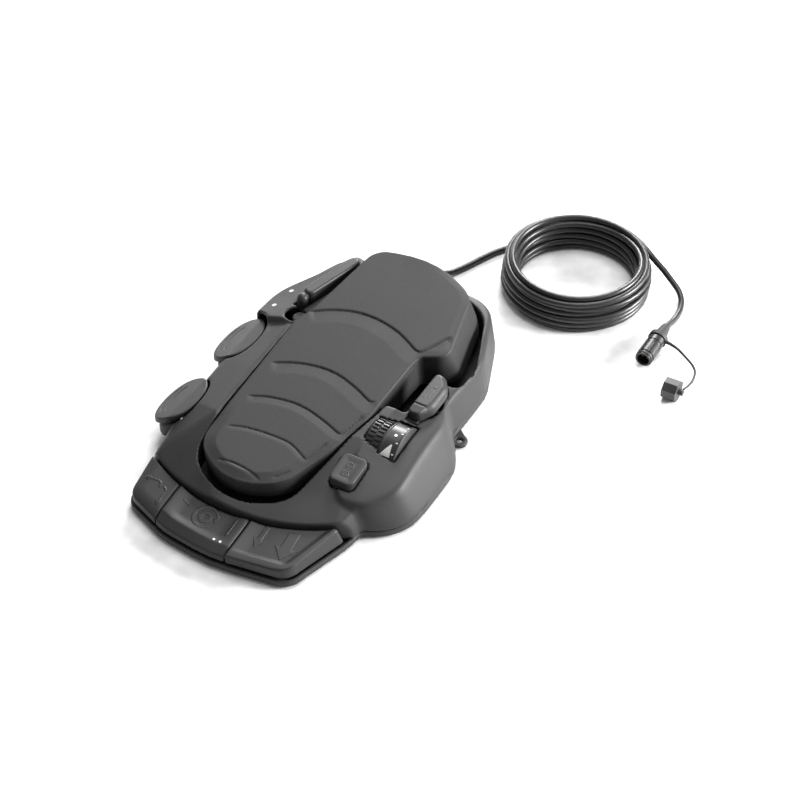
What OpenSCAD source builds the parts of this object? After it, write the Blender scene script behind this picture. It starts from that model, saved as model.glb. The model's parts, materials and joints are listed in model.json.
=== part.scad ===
/* [Foot pedal] */
// Slope of the tread at rest, degrees
tread_slope = 5.1; // [4.6:0.1:5.6]
// Height of the tread plane above the floor at the origin
tread_z = 49.9; // [49:0.1:51]
// Thickness of the tread
tread_t = 3.6; // [3:0.1:4]
// Thickness of the pedal's side walls
pedal_wall = 3; // [2.4:0.1:3.4]
// Height of the lower edge of the pedal's walls
skirt_z = 23; // [22.5:0.1:24]
// Distance of the pivot behind the origin
pivot_y = 15; // [13:0.5:17]
// Height of the pivot
pivot_z = 30; // [29.5:0.1:31]
// Diameter of the pivot axle
axle_d = 6; // [5:0.5:7]

/* [Casing] */
// Thickness of the casing's walls
wall = 3; // [2.6:0.1:3.2]
// Height of the casing's underside
under_z = 1.2; // [1:0.1:1.4]
// Height of the joint between base and housing
split_z = 7.4; // [7:0.1:8]
// Height of the floor of the pedal well
well_z = 11; // [10.8:0.1:11.5]
// Radius of the arc between housing and front buttons
arc_r = 149; // [148:0.5:150]
// Radius of each mounting hole
mount_hole_r = 2.75; // [2.2:0.05:3.2]
// Distance between the two mounting holes
mount_span = 202; // [200:1:204]

/* [Controls] */
// Gap around each button
button_gap = 0.8; // [0.6:0.1:1]
// Radius of the numbered drum of the speed wheel
drum_r = 23; // [22:0.1:23.2]
// Radius of the ribbed grip of the speed wheel
grip_r = 21.5; // [20:0.1:21.8]
// Number of ribs on the grip
rib_count = 36; // [24:2:44]

/* [Cable] */
// Diameter of the cable
cable_d = 5.2; // [5:0.1:5.6]
// Inner radius of the coil
coil_in = 48.5; // [46:0.5:50]
// Outer radius of the coil
coil_out = 64.5; // [62:0.5:66]
// Height of the coil
coil_h = 37; // [34:0.5:40]

/* [Hidden] */
$fn = 48;
arc_step = 10;

// Corners of the outlines, counter-clockwise, each [x, y, corner radius]
foot_corners = [
    [-87, -145, 16], [-45, -162.5, 60], [0, -168.5, 120], [64.5, -160, 16], [82, -104, 50],
    [93, -30, 100], [96, 60, 90], [96, 96, 60], [70, 165, 36], [30, 170, 60],
    [-30, 170, 60], [-70, 165, 36], [-96, 96, 60], [-99, 40, 100], [-99, -50, 200]
];
pedal_corners = [
    [-55, -92, 28], [-14, -120, 45], [24, -99, 30], [42, -50, 60], [50.5, -8, 50],
    [53.5, 60, 6], [74, 69, 11], [59, 138, 28], [14, 162, 85], [-36, 150, 18],
    [-48.5, 66, 14], [-54, 48, 14]
];
well_corners = [
    [-56.5, -97, 30], [-14, -129, 50], [32, -104, 30], [44, -50, 60], [52.3, -8, 40],
    [53.6, 6, 3], [70.5, 7, 5], [70.5, 51, 8], [89, 57, 8], [91, 84, 30], [67, 147, 38],
    [14, 170, 88], [-40, 157, 20], [-51.2, 66, 12], [-56.3, 47, 12]
];
bump_corners = [
    [60, -84, 10], [84, -90, 8], [106, -77, 8], [115.5, -60, 20], [116, 10, 20],
    [94, 44, 12], [62, 44, 10]
];
raise_corners = [
    [-97, 50, 6], [-58, 52, 6], [-42, 150, 10], [-68, 158, 20], [-94, 104, 30]
];
square_corners = [[50.5, -78, 5], [71, -79, 5], [71.5, -51, 5], [50, -50.5, 5]];
rocker_corners = [[73, 9, 2], [80, 8, 3], [88, 20, 12], [88, 42, 12], [81, 53, 4], [73, 52, 4]];
side_button_corners = [[-19, -27, 20], [15, -27, 13], [15, 27, 13], [-19, 27, 20]];

// High points of each part of the casing, each [x, y, z, radius]
body_crown = [
    [-84, -97, 24, 6], [-20, -119, 26, 8], [70, -97, 25, 6], [-89, -46, 32, 6],
    [-90, 31, 36, 5], [-88, 90, 37, 6], [-70, 138, 37, 16], [-34, 158, 37, 8],
    [34, 158, 37, 8], [66, 142, 37, 16], [86, 92, 37, 6], [86, 31, 38, 5], [84, -46, 34, 6],
    [-56, -58, 44, 4], [-56, 46, 49, 4], [54, -30, 46, 4], [58, 4, 47, 4]
];
bump_crown = [
    [94, 17, 42, 5], [97, -60, 36, 5], [64, 38, 42, 5], [82, 38, 40, 5], [60, -36, 44, 5],
    [60, 0, 46, 5], [84, -10, 44.5, 5], [60, -84, 34, 5], [84, -82, 31, 5]
];
raise_crown = [
    [-89, 57, 43, 4], [-63, 62, 50, 4], [-51, 136, 50, 4], [-72, 126, 43, 6],
    [-62, 144, 42, 6], [-87, 96, 43, 6]
];

arc_centre = [-8, 22];
post_x = 32;
post_w = 8;
ear_x = 41.5;
ear_w = 7;
bush_r = axle_d / 2 + 2;
axle_end = 48;
spring_wire = 1.8;
spring_r = 7;
front_spring = [-6, -74];
rear_spring = [12, 112];
rear_seat_z = 26;
front_spring_len = 27.6;
rear_spring_len = 28.8;
spring_turns = 6;
stop_spots = [[-34, -70, 33.1], [22, -72, 32.8], [-18, 128, 49.1], [34, 120, 48.9]];
stop_h = 4.6;
magnet_spots = [[-24, -58], [-12, 92]];
magnet_r = 4;
screw_spots = [
    [-86, -84], [80, -84], [104, -52], [102, 8], [56, 159], [-56, 157], [-83, 112],
    [-90, -8], [-64, -106], [52, -104]
];
screw_boss_r = 4.6;
screw_core_r = 1.4;
foot_r = 8;
foot_spots = [
    [-74, -136], [58, -144], [-84, -60], [96, -34], [-84, 70], [82, 78], [-40, 150], [40, 150]
];
mount_y = 38;
mount_ear_r = 7;
mount_root_r = 16;
mount_ear_t = 3.6;
wheel_y = -19;
wheel_z = 27.5;
grip_x = 56.5;
drum_x = 70;
wheel_end = 85;
stub_r = 3;
window_len = 43;
front_domes = [[-70, -134], [-20, -146], [42, -142]];
front_splits = [-53.5, 12];
front_inset = 1.8;
front_plane_z = 13;
front_slope = 5.5;
front_dome_h = 3.6;
front_rim_z = 6.8;
skirt_low_z = 8.6;
dome_r = 6;
front_side_at = [-97, -49, 31.6];
rear_side_at = [-92, 29, 36.2];
side_fold_x = 3;
side_dome_x = 11;
side_crest = 1.5;
side_rise = 0.24;
side_fall = 0.57;
side_reach_in = 17;
side_reach_out = 28;
side_t = 5;
pod_drop = 9.5;
pod_t = 40;
bar_at = [-62, 75.5];
bar_turn = -15.5;
bar_len = 58;
bar_w = 10;
bar_top = 60;
bar_low = 47;
bar_pin_z = 44.5;
bar_pin_reach = 10.5;
bar_dome_at = [-3.5, 42];
bar_play = 4.2;
rocker_pin_at = [78, 5.5, 39];
rocker_top = 52;
rocker_low = 41.6;
rocker_dome_at = [81, 32];
rocker_play = 4;
pin_r = 1.5;
pin_play = 0.05;
lug_r = 3.2;
square_dome_at = [61, -65];
board_t = 1.6;
dome_h = 6;
stem_gap = 0.3;
front_board_z = 5;
left_board_z = 17;
right_board_z = 20;
rocker_board_z = 26;
bar_board_z = 34;
well_board_z = 4.6;
// Posts of the base that carry the boards, each [x, y, height of its top]
board_posts = [
    [-70, -134, front_board_z], [-20, -146, front_board_z], [42, -142, front_board_z],
    [66, -128, front_board_z], [-37, -66, well_board_z], [27, -66, well_board_z],
    [-37, 116, well_board_z], [27, 116, well_board_z], [-70, -52, left_board_z],
    [-70, 50, left_board_z], [86, -74, right_board_z], [86, -50, right_board_z],
    [54, -74, right_board_z], [90, 13, rocker_board_z], [78, 14, rocker_board_z],
    [-68, 101, bar_board_z], [-64, 122, bar_board_z]
];
gland_at = [-8, 11];
gland_bore_r = 5.2;
gland_y = 170;
gland_pocket = [-18.5, 148.5, 21, 18.5, 18];
relief_end = 197;

// Free cable: the route of each stretch, as [x, y, z]
lead_route = [
    [-8, 152, 11], [-8, 170, 11], [-8, 197, 11], [-7, 204, 8.6], [-5, 210, 5.6], [-1, 217, 3.4],
    [4, 227, 2.7], [9, 238, 2.7], [14, 250, 2.7], [20, 262, 2.7], [28, 273, 2.7],
    [37, 283, 2.8], [46, 290, 3]
];
tail_route = [
    [143, 300, 22], [152, 297, 18], [161, 294, 14], [170, 290, 9.5], [178, 286, 6],
    [184, 279, 3.6], [187.5, 270, 2.7], [189, 260, 2.7], [189, 250, 3.4], [189, 243, 5.8],
    [189, 236, 8.1]
];
tether_route = [
    [196.6, 219, 8], [202, 218.3, 7.4], [207, 217, 7], [212, 214.6, 6.4], [217.6, 211.5, 5.8],
    [226, 206, 5], [231, 199.5, 4.8], [233.2, 190, 5], [233.4, 181.5, 6.4], [232.4, 173, 8.2]
];
coil_at = [97, 256];
plug_at = [189, 236, 8.1];
shell_r = 6.6;
ring_r = 8;
coupling_r = 7.25;
mouth_r = 5.2;
cap_at = [218, 168.5, 8.4];
cap_r = 9.05;
cap_len = 12;
harness_route = [
    [-8, 152, 11], [-9, 151, 7], [-16, 148, 5.6], [-40, 144, 5.6], [-61, 135, 5.6],
    [-73, 120, 5.6], [-76.5, 104, 5.6], [-78, 88, 5.6], [-78, 0, 5.6], [-77, -60, 5.6],
    [-75, -92, 5.6], [-73, -104, 5.6], [-69.5, -112, 5.6], [-62, -115, 5.6], [-52, -115.5, 5.6]
];

function unit(v) = v / norm(v);
function left_of(v) = [-v[1], v[0]];
function turn_of(a, b) = a[0] * b[1] - a[1] * b[0];
function place(list, i) = let (c = list[(i + len(list)) % len(list)]) [c[0], c[1]];
function arrive(list, i) = unit(place(list, i) - place(list, i - 1));
function leave(list, i) = unit(place(list, i + 1) - place(list, i));
function spin(v, a) = [v[0] * cos(a) - v[1] * sin(a), v[0] * sin(a) + v[1] * cos(a)];

// Moves every corner of an outline inward by d, or outward where d is negative
function inset(list, d) = [
    for (i = [0:len(list) - 1])
        let (
            n1 = left_of(arrive(list, i)),
            n2 = left_of(leave(list, i)),
            q = place(list, i) + d * (n1 + n2) / (1 + n1 * n2),
            convex = turn_of(arrive(list, i), leave(list, i)) > 0,
            r = list[i][2] + (convex ? -d : d)
        )
        [q[0], q[1], max(r, 0.6)]
];

// Points of a closed outline whose corners are rounded
function rounded(list) = [
    for (i = [0:len(list) - 1])
        let (
            a = arrive(list, i),
            b = leave(list, i),
            angle = acos(min(1, a * b)),
            side = turn_of(a, b) > 0 ? 1 : -1,
            start = place(list, i) - a * list[i][2] * tan(angle / 2),
            spoke = -side * list[i][2] * left_of(a),
            steps = max(1, ceil(angle / arc_step))
        )
        for (k = [0:steps])
            start - spoke + spin(spoke, side * angle * k / steps)
];

module prism(list, z0, z1) {
    translate([0, 0, z0])
        linear_extrude(z1 - z0)
            polygon(rounded(list));
}

// Frame of a ring at point i of a path: its middle, and the two directions across the path
function along(path, i) = unit(path[min(i + 1, len(path) - 1)] - path[max(i - 1, 0)]);
function across(t) = unit(cross(t, abs(t[2]) > 0.9 ? [1, 0, 0] : [0, 0, 1]));

// Smooth curve through the points of a route, with `parts` rings between two points
function blend4(a, b, c, d, t) =
    0.5 * (2 * b + (c - a) * t + (2 * a - 5 * b + 4 * c - d) * t * t
    + (3 * b - a - 3 * c + d) * t * t * t);
function smooth(route, parts) = [
    for (i = [0:len(route) - 2])
        for (k = [0:parts - 1])
            blend4(
                route[max(i - 1, 0)], route[i], route[i + 1],
                route[min(i + 2, len(route) - 1)], k / parts
            ),
    route[len(route) - 1]
];

// Round tube swept along a path
module tube(path, r, sides) {
    rings = len(path);
    points = [
        for (i = [0:rings - 1])
            let (t = along(path, i), u = across(t), v = cross(t, u))
            for (k = [0:sides - 1])
                path[i] + r * (cos(360 * k / sides) * u + sin(360 * k / sides) * v)
    ];
    walls = [
        for (i = [0:rings - 2])
            for (k = [0:sides - 1])
                let (n = (k + 1) % sides)
                for (up = [0, 1])
                    up == 0
                    ? [i * sides + k, (i + 1) * sides + k, (i + 1) * sides + n]
                    : [i * sides + k, (i + 1) * sides + n, i * sides + n]
    ];
    first = [for (k = [0:sides - 1]) k];
    last = [for (k = [0:sides - 1]) rings * sides - 1 - k];
    polyhedron(points, concat([first], walls, [last]));
}

// Coil spring standing on the point `at`
module coil_spring(at, length, turns) {
    step = 22.5;
    path = [
        for (a = [0:step:360 * turns])
            [
                at[0] + spring_r * cos(a), at[1] + spring_r * sin(a),
                at[2] + spring_wire / 2 + (length - spring_wire) * a / (360 * turns)
            ]
    ];
    tube(path, spring_wire / 2, 6);
}

// Rubber dome that stands on a board and returns a button
module dome(at, z, height, r = dome_r) {
    translate([at[0], at[1], z])
        rotate_extrude()
            polygon([
                [r - 1.2, 0], [r + 1.2, 0], [r + 1.2, 0.8], [r, 0.8], [r / 2, height - 1.2],
                [r / 2, height], [0, height], [0, height - 1.6], [r / 2 - 0.8, height - 2.2]
            ]);
}

// Everything in front of the arc that ends the housing
module in_front_of_arc(r) {
    difference() {
        translate([-150, -200, 0])
            cube([242, 107, 90]);
        translate([arc_centre[0], arc_centre[1], -1])
            cylinder(r = r, h = 92, $fn = 180);
    }
}

module knobs(list, t) {
    for (p = list)
        translate([p[0], p[1], p[2] - t - 4]) {
            cylinder(r = max(p[3] - t + 1.5, 1), h = 2.4, $fn = 24);
            cylinder(r = max(p[3] - t, 0.6), h = 4, $fn = 24);
        }
}

module body_hull(t) {
    hull() {
        prism(inset(foot_corners, t), split_z - t / 30, split_z + 1);
        knobs(body_crown, t);
    }
}

module bump_hull(t) {
    hull() {
        prism(inset(bump_corners, t), split_z - t / 30, split_z + 1);
        knobs(bump_crown, t);
    }
}

module raise_hull(t) {
    hull() {
        prism(inset(raise_corners, t), split_z - t / 30, split_z + 8);
        knobs(raise_crown, t);
    }
}

// Shape of a side button before its gaps: one half rises with the deck, one falls outside
module side_wedge(at, drop, thick) {
    inner = [side_fold_x + side_reach_in, side_rise * side_reach_in];
    fold = [side_fold_x, 0];
    outer = [side_fold_x - side_reach_out, -side_fall * side_reach_out];
    under = [0, -thick];
    translate([at[0], at[1] + 40, at[2] + side_crest - drop])
        rotate([90, 0, 0])
            linear_extrude(80)
                polygon([inner, fold, outer, outer + under, fold + under, inner + under]);
}

module side_outline(at, gap, z0, z1) {
    translate([at[0], at[1], 0])
        prism(inset(side_button_corners, -gap), z0, z1);
}

module at_bar() {
    translate([bar_at[0], bar_at[1], 0])
        rotate([0, 0, bar_turn])
            children();
}

module at_plug() {
    translate(plug_at)
        rotate([90, 0, 0])
            children();
}

module base_tray() {
    floor_t = 2.6;
    color("dimgray")
        difference() {
            union() {
                difference() {
                    union() {
                        prism(foot_corners, under_z, split_z);
                        prism(bump_corners, under_z, split_z);
                        for (side = [-1, 1])
                            mount_ear(side);
                    }
                    difference() {
                        union() {
                            prism(inset(foot_corners, wall), under_z + floor_t, split_z + 1);
                            prism(inset(bump_corners, wall), under_z + floor_t, split_z + 1);
                        }
                        for (p = screw_spots)
                            translate([p[0], p[1], 0])
                                cylinder(r = 5, h = split_z);
                    }
                    // Lower rim below the front buttons
                    translate([0, 0, front_rim_z])
                        in_front_of_arc(arc_r);
                }
                for (p = board_posts)
                    translate([p[0], p[1], under_z + floor_t - 1])
                        cylinder(r = 3, h = p[2] - under_z - floor_t + 1);
            }
            for (p = screw_spots)
                translate([p[0], p[1], under_z - 1]) {
                    cylinder(r = 1.8, h = 10);
                    cylinder(r = 4, h = 3.2);
                }
            for (p = foot_spots)
                translate([p[0], p[1], under_z - 1])
                    cylinder(r = foot_r, h = 1.6);
            for (side = [-1, 1])
                translate([side * mount_span / 2, mount_y, 0])
                    cylinder(r = mount_hole_r, h = 12);
            gland_bore();
        }
}

// Flat ear beside the casing with a hole for a deck screw
module mount_ear(side) {
    hull() {
        translate([side * mount_span / 2, mount_y, under_z])
            cylinder(r = mount_ear_r, h = mount_ear_t, $fn = 32);
        translate([side * 84, mount_y + 4, under_z])
            cylinder(r = mount_root_r, h = mount_ear_t, $fn = 32);
    }
}

module gland_bore() {
    translate([gland_at[0], gland_y - 8, gland_at[1]])
        rotate([-90, 0, 0])
            cylinder(r = gland_bore_r, h = 20);
}

module rubber_feet() {
    color("black")
        for (p = foot_spots)
            translate([p[0], p[1], 0])
                cylinder(r = foot_r, h = under_z + 0.6);
}

module top_housing() {
    color("dimgray")
        difference() {
            union() {
                body_hull(0);
                bump_hull(0);
                raise_hull(0);
                for (at = [front_side_at, rear_side_at])
                    side_pod(at);
                gland_boss();
            }
            // The hollow inside, less everything that stands in it
            difference() {
                union() {
                    body_hull(wall);
                    bump_hull(wall);
                    raise_hull(wall);
                }
                in_front_of_arc(arc_r - wall);
                prism(inset(well_corners, -2.2), well_z - 2.4, 80);
                for (p = screw_spots)
                    translate([p[0], p[1], 0])
                        cylinder(r = screw_boss_r, h = 80);
                wheel_brackets();
                pin_blocks();
            }
            // The pedal well, with its posts and seats left standing
            difference() {
                prism(well_corners, well_z, 90);
                well_posts();
            }
            in_front_of_arc(arc_r);
            for (p = screw_spots)
                translate([p[0], p[1], split_z - 1])
                    cylinder(r = screw_core_r, h = 12);
            // Openings for the controls
            translate([grip_x - 0.6, wheel_y - window_len / 2, 33])
                cube([wheel_end - grip_x + 1.2, window_len, 40]);
            prism(inset(square_corners, -button_gap), 26, 60);
            for (at = [front_side_at, rear_side_at])
                difference() {
                    side_outline(at, button_gap, at[2] - 30, 80);
                    side_wedge(at, pod_drop - 0.1, pod_t);
                }
            bar_slot();
            rocker_slot();
            translate([-axle_end, pivot_y, pivot_z])
                rotate([0, 90, 0])
                    cylinder(d = axle_d, h = 2 * axle_end);
            translate([52.8, wheel_y, wheel_z])
                rotate([0, 90, 0])
                    cylinder(r = stub_r + pin_play, h = 40);
            translate([gland_pocket[0], gland_pocket[1], split_z - 1])
                cube([gland_pocket[2], gland_pocket[3], gland_pocket[4] - split_z + 1]);
            gland_bore();
        }
}

module side_pod(at) {
    intersection() {
        side_wedge(at, pod_drop, pod_t);
        translate([at[0], at[1], 0])
            prism(inset(side_button_corners, 3), split_z, 60);
    }
}

// Plates that carry the speed wheel's shaft and the potentiometer
module wheel_brackets() {
    translate([52, wheel_y - 9, 0])
        cube([3.9, 18, 80]);
    translate([wheel_end + 0.9, wheel_y - 11, 0])
        cube([2.6, 22, 80]);
}

// Blocks under the deck that hold the pins of the bar and the rocker
module pin_blocks() {
    at_bar()
        translate([-15, -6, bar_pin_z - 6])
            cube([15 - bar_w / 2 - button_gap, 12, 20]);
    translate([82.9, 3.6, rocker_pin_at[2] - 5])
        cube([4.2, 7.4, 20]);
}

// Flat seat on the rear wall for the gland's flange
module gland_boss() {
    intersection() {
        translate([gland_at[0], gland_y - 12, gland_at[1]])
            rotate([-90, 0, 0])
                cylinder(r = 9, h = 12);
        translate([-30, 100, split_z])
            cube([60, 100, 30]);
    }
}

module well_posts() {
    for (side = [-1, 1])
        translate([side * post_x - post_w / 2, 0, 0]) {
            translate([0, pivot_y - 9, 0])
                cube([post_w, 18, pivot_z]);
            translate([0, pivot_y, pivot_z])
                rotate([0, 90, 0])
                    cylinder(r = 9, h = post_w);
        }
    for (p = stop_spots)
        translate([p[0], p[1], 0])
            cylinder(r = 7, h = p[2] - stop_h);
    translate([gland_pocket[0] - 2.4, gland_pocket[1] - 2.4, 0])
        cube([gland_pocket[2] + 4.8, 30, gland_pocket[4] + 2.4]);
    translate([front_spring[0], front_spring[1], 0])
        cylinder(r = spring_r - 2.4, h = well_z + 5);
    translate([rear_spring[0], rear_spring[1], 0]) {
        cylinder(r = 11, h = rear_seat_z);
        cylinder(r = spring_r - 2.4, h = rear_seat_z + 5);
    }
}

// Notch for the long bar, open to the pedal well, and the bore for its pin
module bar_slot() {
    at_bar() {
        translate([-bar_w / 2 - button_gap, -bar_w / 2 - button_gap, bar_low - bar_play])
            cube([bar_w + button_gap * 2, bar_len + bar_w + 2 * button_gap, 40]);
        translate([-bar_w / 2 - button_gap, -lug_r - button_gap, bar_pin_z - lug_r - button_gap])
            cube([bar_w + button_gap * 2, 2 * lug_r + 2 * button_gap, 40]);
        translate([-bar_w / 2 - button_gap, 12, 34])
            cube([bar_w - 1.5, bar_len - 14, 40]);
        translate([-bar_pin_reach - 1, 0, bar_pin_z])
            rotate([0, 90, 0])
                cylinder(r = pin_r, h = bar_pin_reach - 2);
    }
}

module rocker_slot() {
    prism(inset(rocker_corners, -button_gap), rocker_low - rocker_play, 70);
    translate([73, rocker_pin_at[1] - lug_r - button_gap, rocker_pin_at[2] - lug_r - button_gap])
        cube([9.9, 2 * lug_r + 2 * button_gap, 40]);
    translate([74.6, 14, 30])
        cube([11, 30, 40]);
    translate([70.2, rocker_pin_at[1], rocker_pin_at[2]])
        rotate([0, 90, 0])
            cylinder(r = pin_r, h = 15.5);
}

module housing_screws() {
    color("silver")
        for (p = screw_spots)
            translate([p[0], p[1], under_z + 0.2]) {
                difference() {
                    cylinder(r = 3.6, h = 2);
                    translate([-2.6, -0.5, -1])
                        cube([5.2, 1, 1.8]);
                    translate([-0.5, -2.6, -1])
                        cube([1, 5.2, 1.8]);
                }
                cylinder(r = screw_core_r, h = 15);
            }
}

// The tread's own frame: its top is the plane z = 0
module on_tread() {
    translate([0, 0, tread_z])
        rotate([tread_slope, 0, 0])
            children();
}

module foot_pedal() {
    color("dimgray")
        difference() {
            union() {
                intersection() {
                    difference() {
                        on_tread()
                            prism(pedal_corners, -60, 0);
                        on_tread()
                            prism(inset(pedal_corners, pedal_wall), -80, -tread_t);
                    }
                    translate([-100, -150, skirt_z])
                        cube([200, 340, 60]);
                }
                // Ears that run on the axle, magnet seats and spring locators under the tread
                intersection() {
                    on_tread()
                        prism(inset(pedal_corners, pedal_wall / 2), -60, -tread_t / 2);
                    pedal_ribs();
                }
            }
            for (side = [-1, 1])
                translate([side * ear_x - ear_w / 2 - 1, pivot_y, pivot_z])
                    rotate([0, 90, 0])
                        cylinder(r = bush_r, h = ear_w + 2);
            for (p = magnet_spots)
                translate([p[0], p[1], skirt_z - 1])
                    cylinder(r = magnet_r, h = 5);
            // Notch over the gland's pocket
            translate([gland_pocket[0] - 5, gland_pocket[1] - 6, skirt_z - 1])
                cube([gland_pocket[2] + 10, 40, 11]);
        }
}

module pedal_ribs() {
    for (side = [-1, 1])
        translate([side * ear_x - ear_w / 2, 0, 0]) {
            translate([0, pivot_y - 8, pivot_z])
                cube([ear_w, 16, 40]);
            translate([0, pivot_y, pivot_z])
                rotate([0, 90, 0])
                    cylinder(r = 8, h = ear_w);
        }
    for (p = magnet_spots)
        translate([p[0], p[1], skirt_z])
            cylinder(r = magnet_r + 2, h = 50);
    translate([front_spring[0], front_spring[1], 35])
        cylinder(r = spring_r - 2.4, h = 20);
    translate([rear_spring[0], rear_spring[1], 51])
        cylinder(r = spring_r - 2.4, h = 20);
}

module pedal_axle() {
    color("silver")
        translate([-axle_end, pivot_y, pivot_z])
            rotate([0, 90, 0])
                difference() {
                    cylinder(d = axle_d, h = 2 * axle_end);
                    for (x = [1.2, 2 * axle_end - 2.4])
                        translate([0, 0, x])
                            difference() {
                                cylinder(d = axle_d + 2, h = 1.2);
                                translate([0, 0, -1])
                                    cylinder(d = axle_d - 1.6, h = 4);
                            }
                }
}

module axle_bushings() {
    color("ivory")
        for (side = [-1, 1])
            translate([side * ear_x, pivot_y, pivot_z])
                rotate([0, side * 90, 0])
                    translate([0, 0, -ear_w / 2])
                        rotate_extrude()
                            translate([axle_d / 2 + 0.05, 0])
                                square([bush_r - axle_d / 2 - 0.05, ear_w]);
}

module axle_clips() {
    color("silver")
        for (x = [-axle_end + 1.3, axle_end - 2.3])
            translate([x, pivot_y, pivot_z])
                rotate([0, 90, 0])
                    difference() {
                        cylinder(d = axle_d + 5, h = 1);
                        translate([0, 0, -1])
                            cylinder(d = axle_d - 1.6, h = 4);
                        translate([-10, -1.6, -1])
                            cube([10, 3.2, 4]);
                    }
}

module front_pedal_spring() {
    color("lightgray")
        coil_spring([front_spring[0], front_spring[1], well_z], front_spring_len, spring_turns);
}

module rear_pedal_spring() {
    color("lightgray")
        coil_spring([rear_spring[0], rear_spring[1], rear_seat_z], rear_spring_len, spring_turns);
}

module travel_stops() {
    color("black")
        for (p = stop_spots)
            translate([p[0], p[1], p[2] - stop_h])
                cylinder(r = 6, h = stop_h);
}

module pedal_magnets() {
    color("silver")
        for (p = magnet_spots)
            translate([p[0], p[1], skirt_z])
                cylinder(r = magnet_r, h = 4);
}

// One of the three foot buttons across the front, between x0 and x1
module front_button(x0, x1, dome_at) {
    t = 2.6;
    stem_z = front_board_z + board_t + front_dome_h + stem_gap;
    color("gray")
        difference() {
            front_block(x0, x1, 0, skirt_low_z);
            difference() {
                front_block(x0 + t, x1 - t, t, skirt_low_z - 1);
                translate([dome_at[0], dome_at[1], stem_z])
                    cylinder(r = 3, h = 20);
            }
        }
}

// The space of a front button, drawn in by t and open below z0
module front_block(x0, x1, t, z0) {
    difference() {
        intersection() {
            prism(inset(foot_corners, front_inset + t), z0, 40);
            in_front_of_arc(arc_r + button_gap + t);
            translate([x0, -200, 0])
                cube([x1 - x0, 120, 60]);
        }
        translate([-150, -200, front_plane_z - t])
            rotate([front_slope, 0, 0])
                cube([300, 200, 60]);
    }
}

module left_front_button() {
    front_button(-120, front_splits[0] - button_gap / 2, front_domes[0]);
}

module centre_front_button() {
    front_button(
        front_splits[0] + button_gap / 2, front_splits[1] - button_gap / 2, front_domes[1]
    );
}

module right_front_button() {
    front_button(front_splits[1] + button_gap / 2, 120, front_domes[2]);
}

module front_dome(i) {
    color("darkslategray")
        dome(front_domes[i], front_board_z + board_t, front_dome_h);
}

module left_front_dome() {
    front_dome(0);
}

module centre_front_dome() {
    front_dome(1);
}

module right_front_dome() {
    front_dome(2);
}

// Post under a button, from just above its dome to the height z1
module stem(at, board_z, z1, r = 3) {
    z0 = board_z + board_t + dome_h + stem_gap;
    translate([at[0], at[1], z0])
        cylinder(r = r, h = z1 - z0);
}

module side_button(at) {
    color("gray") {
        intersection() {
            side_wedge(at, 0, side_t);
            side_outline(at, 0, 0, 80);
        }
        stem([at[0] + side_dome_x, at[1]], left_board_z, at[2]);
    }
}

module front_side_button() {
    side_button(front_side_at);
}

module rear_side_button() {
    side_button(rear_side_at);
}

module side_dome(at) {
    color("darkslategray")
        dome([at[0] + side_dome_x, at[1]], left_board_z + board_t, dome_h);
}

module front_side_dome() {
    side_dome(front_side_at);
}

module rear_side_dome() {
    side_dome(rear_side_at);
}

module square_button() {
    color("gray") {
        difference() {
            prism(square_corners, 33, 45);
            translate([40, -90, 39.6])
                rotate([6.5, 0, 0])
                    cube([50, 60, 20]);
        }
        stem(square_dome_at, right_board_z, 35);
    }
}

module square_dome() {
    color("darkslategray")
        dome(square_dome_at, right_board_z + board_t, dome_h);
}

module momentary_bar() {
    color("gray")
        at_bar()
            difference() {
                union() {
                    translate([0, 0, bar_pin_z + 1])
                        cylinder(r = lug_r, h = bar_top - 5 - bar_pin_z);
                    translate([-bar_w / 2 + 0.4, 0, bar_pin_z])
                        rotate([0, 90, 0])
                            cylinder(r = lug_r, h = bar_w - 0.8);
                    translate([-2.5, 0, bar_low])
                        cube([5, 12, 5]);
                    hull()
                        for (y = [11, bar_len])
                            translate([0, y, bar_low])
                                capsule_end(bar_w / 2, bar_top - bar_low);
                    stem(bar_dome_at, bar_board_z, bar_low + 1, 1.5);
                }
                translate([-10, 0, bar_pin_z])
                    rotate([0, 90, 0])
                        cylinder(r = pin_r + pin_play, h = 20);
            }
}

module capsule_end(r, h) {
    cylinder(r = r, h = h - r * 0.6, $fn = 32);
    cylinder(r = r * 0.6, h = h, $fn = 32);
}

module momentary_pin() {
    color("silver")
        at_bar()
            translate([-bar_pin_reach, 0, bar_pin_z])
                rotate([0, 90, 0])
                    cylinder(r = pin_r, h = bar_pin_reach + bar_w / 2 - 0.6);
}

module momentary_dome() {
    color("darkslategray")
        at_bar()
            dome(bar_dome_at, bar_board_z + board_t, dome_h, 3.8);
}

module mode_rocker() {
    color("gray")
        difference() {
            union() {
                prism(rocker_corners, rocker_low, rocker_top - 4);
                prism(inset(rocker_corners, 1.6), rocker_low, rocker_top);
                translate([73.8, rocker_pin_at[1], rocker_pin_at[2]])
                    rotate([0, 90, 0])
                        cylinder(r = lug_r, h = 8.3);
                translate([rocker_pin_at[0], rocker_pin_at[1], rocker_pin_at[2] + 1])
                    cylinder(r = lug_r, h = 8);
                translate([75.5, rocker_pin_at[1], rocker_low])
                    cube([5, 6, 4]);
                stem(rocker_dome_at, rocker_board_z, rocker_low + 1, 2);
            }
            translate([60, rocker_pin_at[1], rocker_pin_at[2]])
                rotate([0, 90, 0])
                    cylinder(r = pin_r + pin_play, h = 40);
        }
}

module rocker_pin() {
    color("silver")
        translate([70.6, rocker_pin_at[1], rocker_pin_at[2]])
            rotate([0, 90, 0])
                cylinder(r = pin_r, h = 15);
}

module rocker_dome() {
    color("darkslategray")
        dome(rocker_dome_at, rocker_board_z + board_t, dome_h, 4);
}

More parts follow.
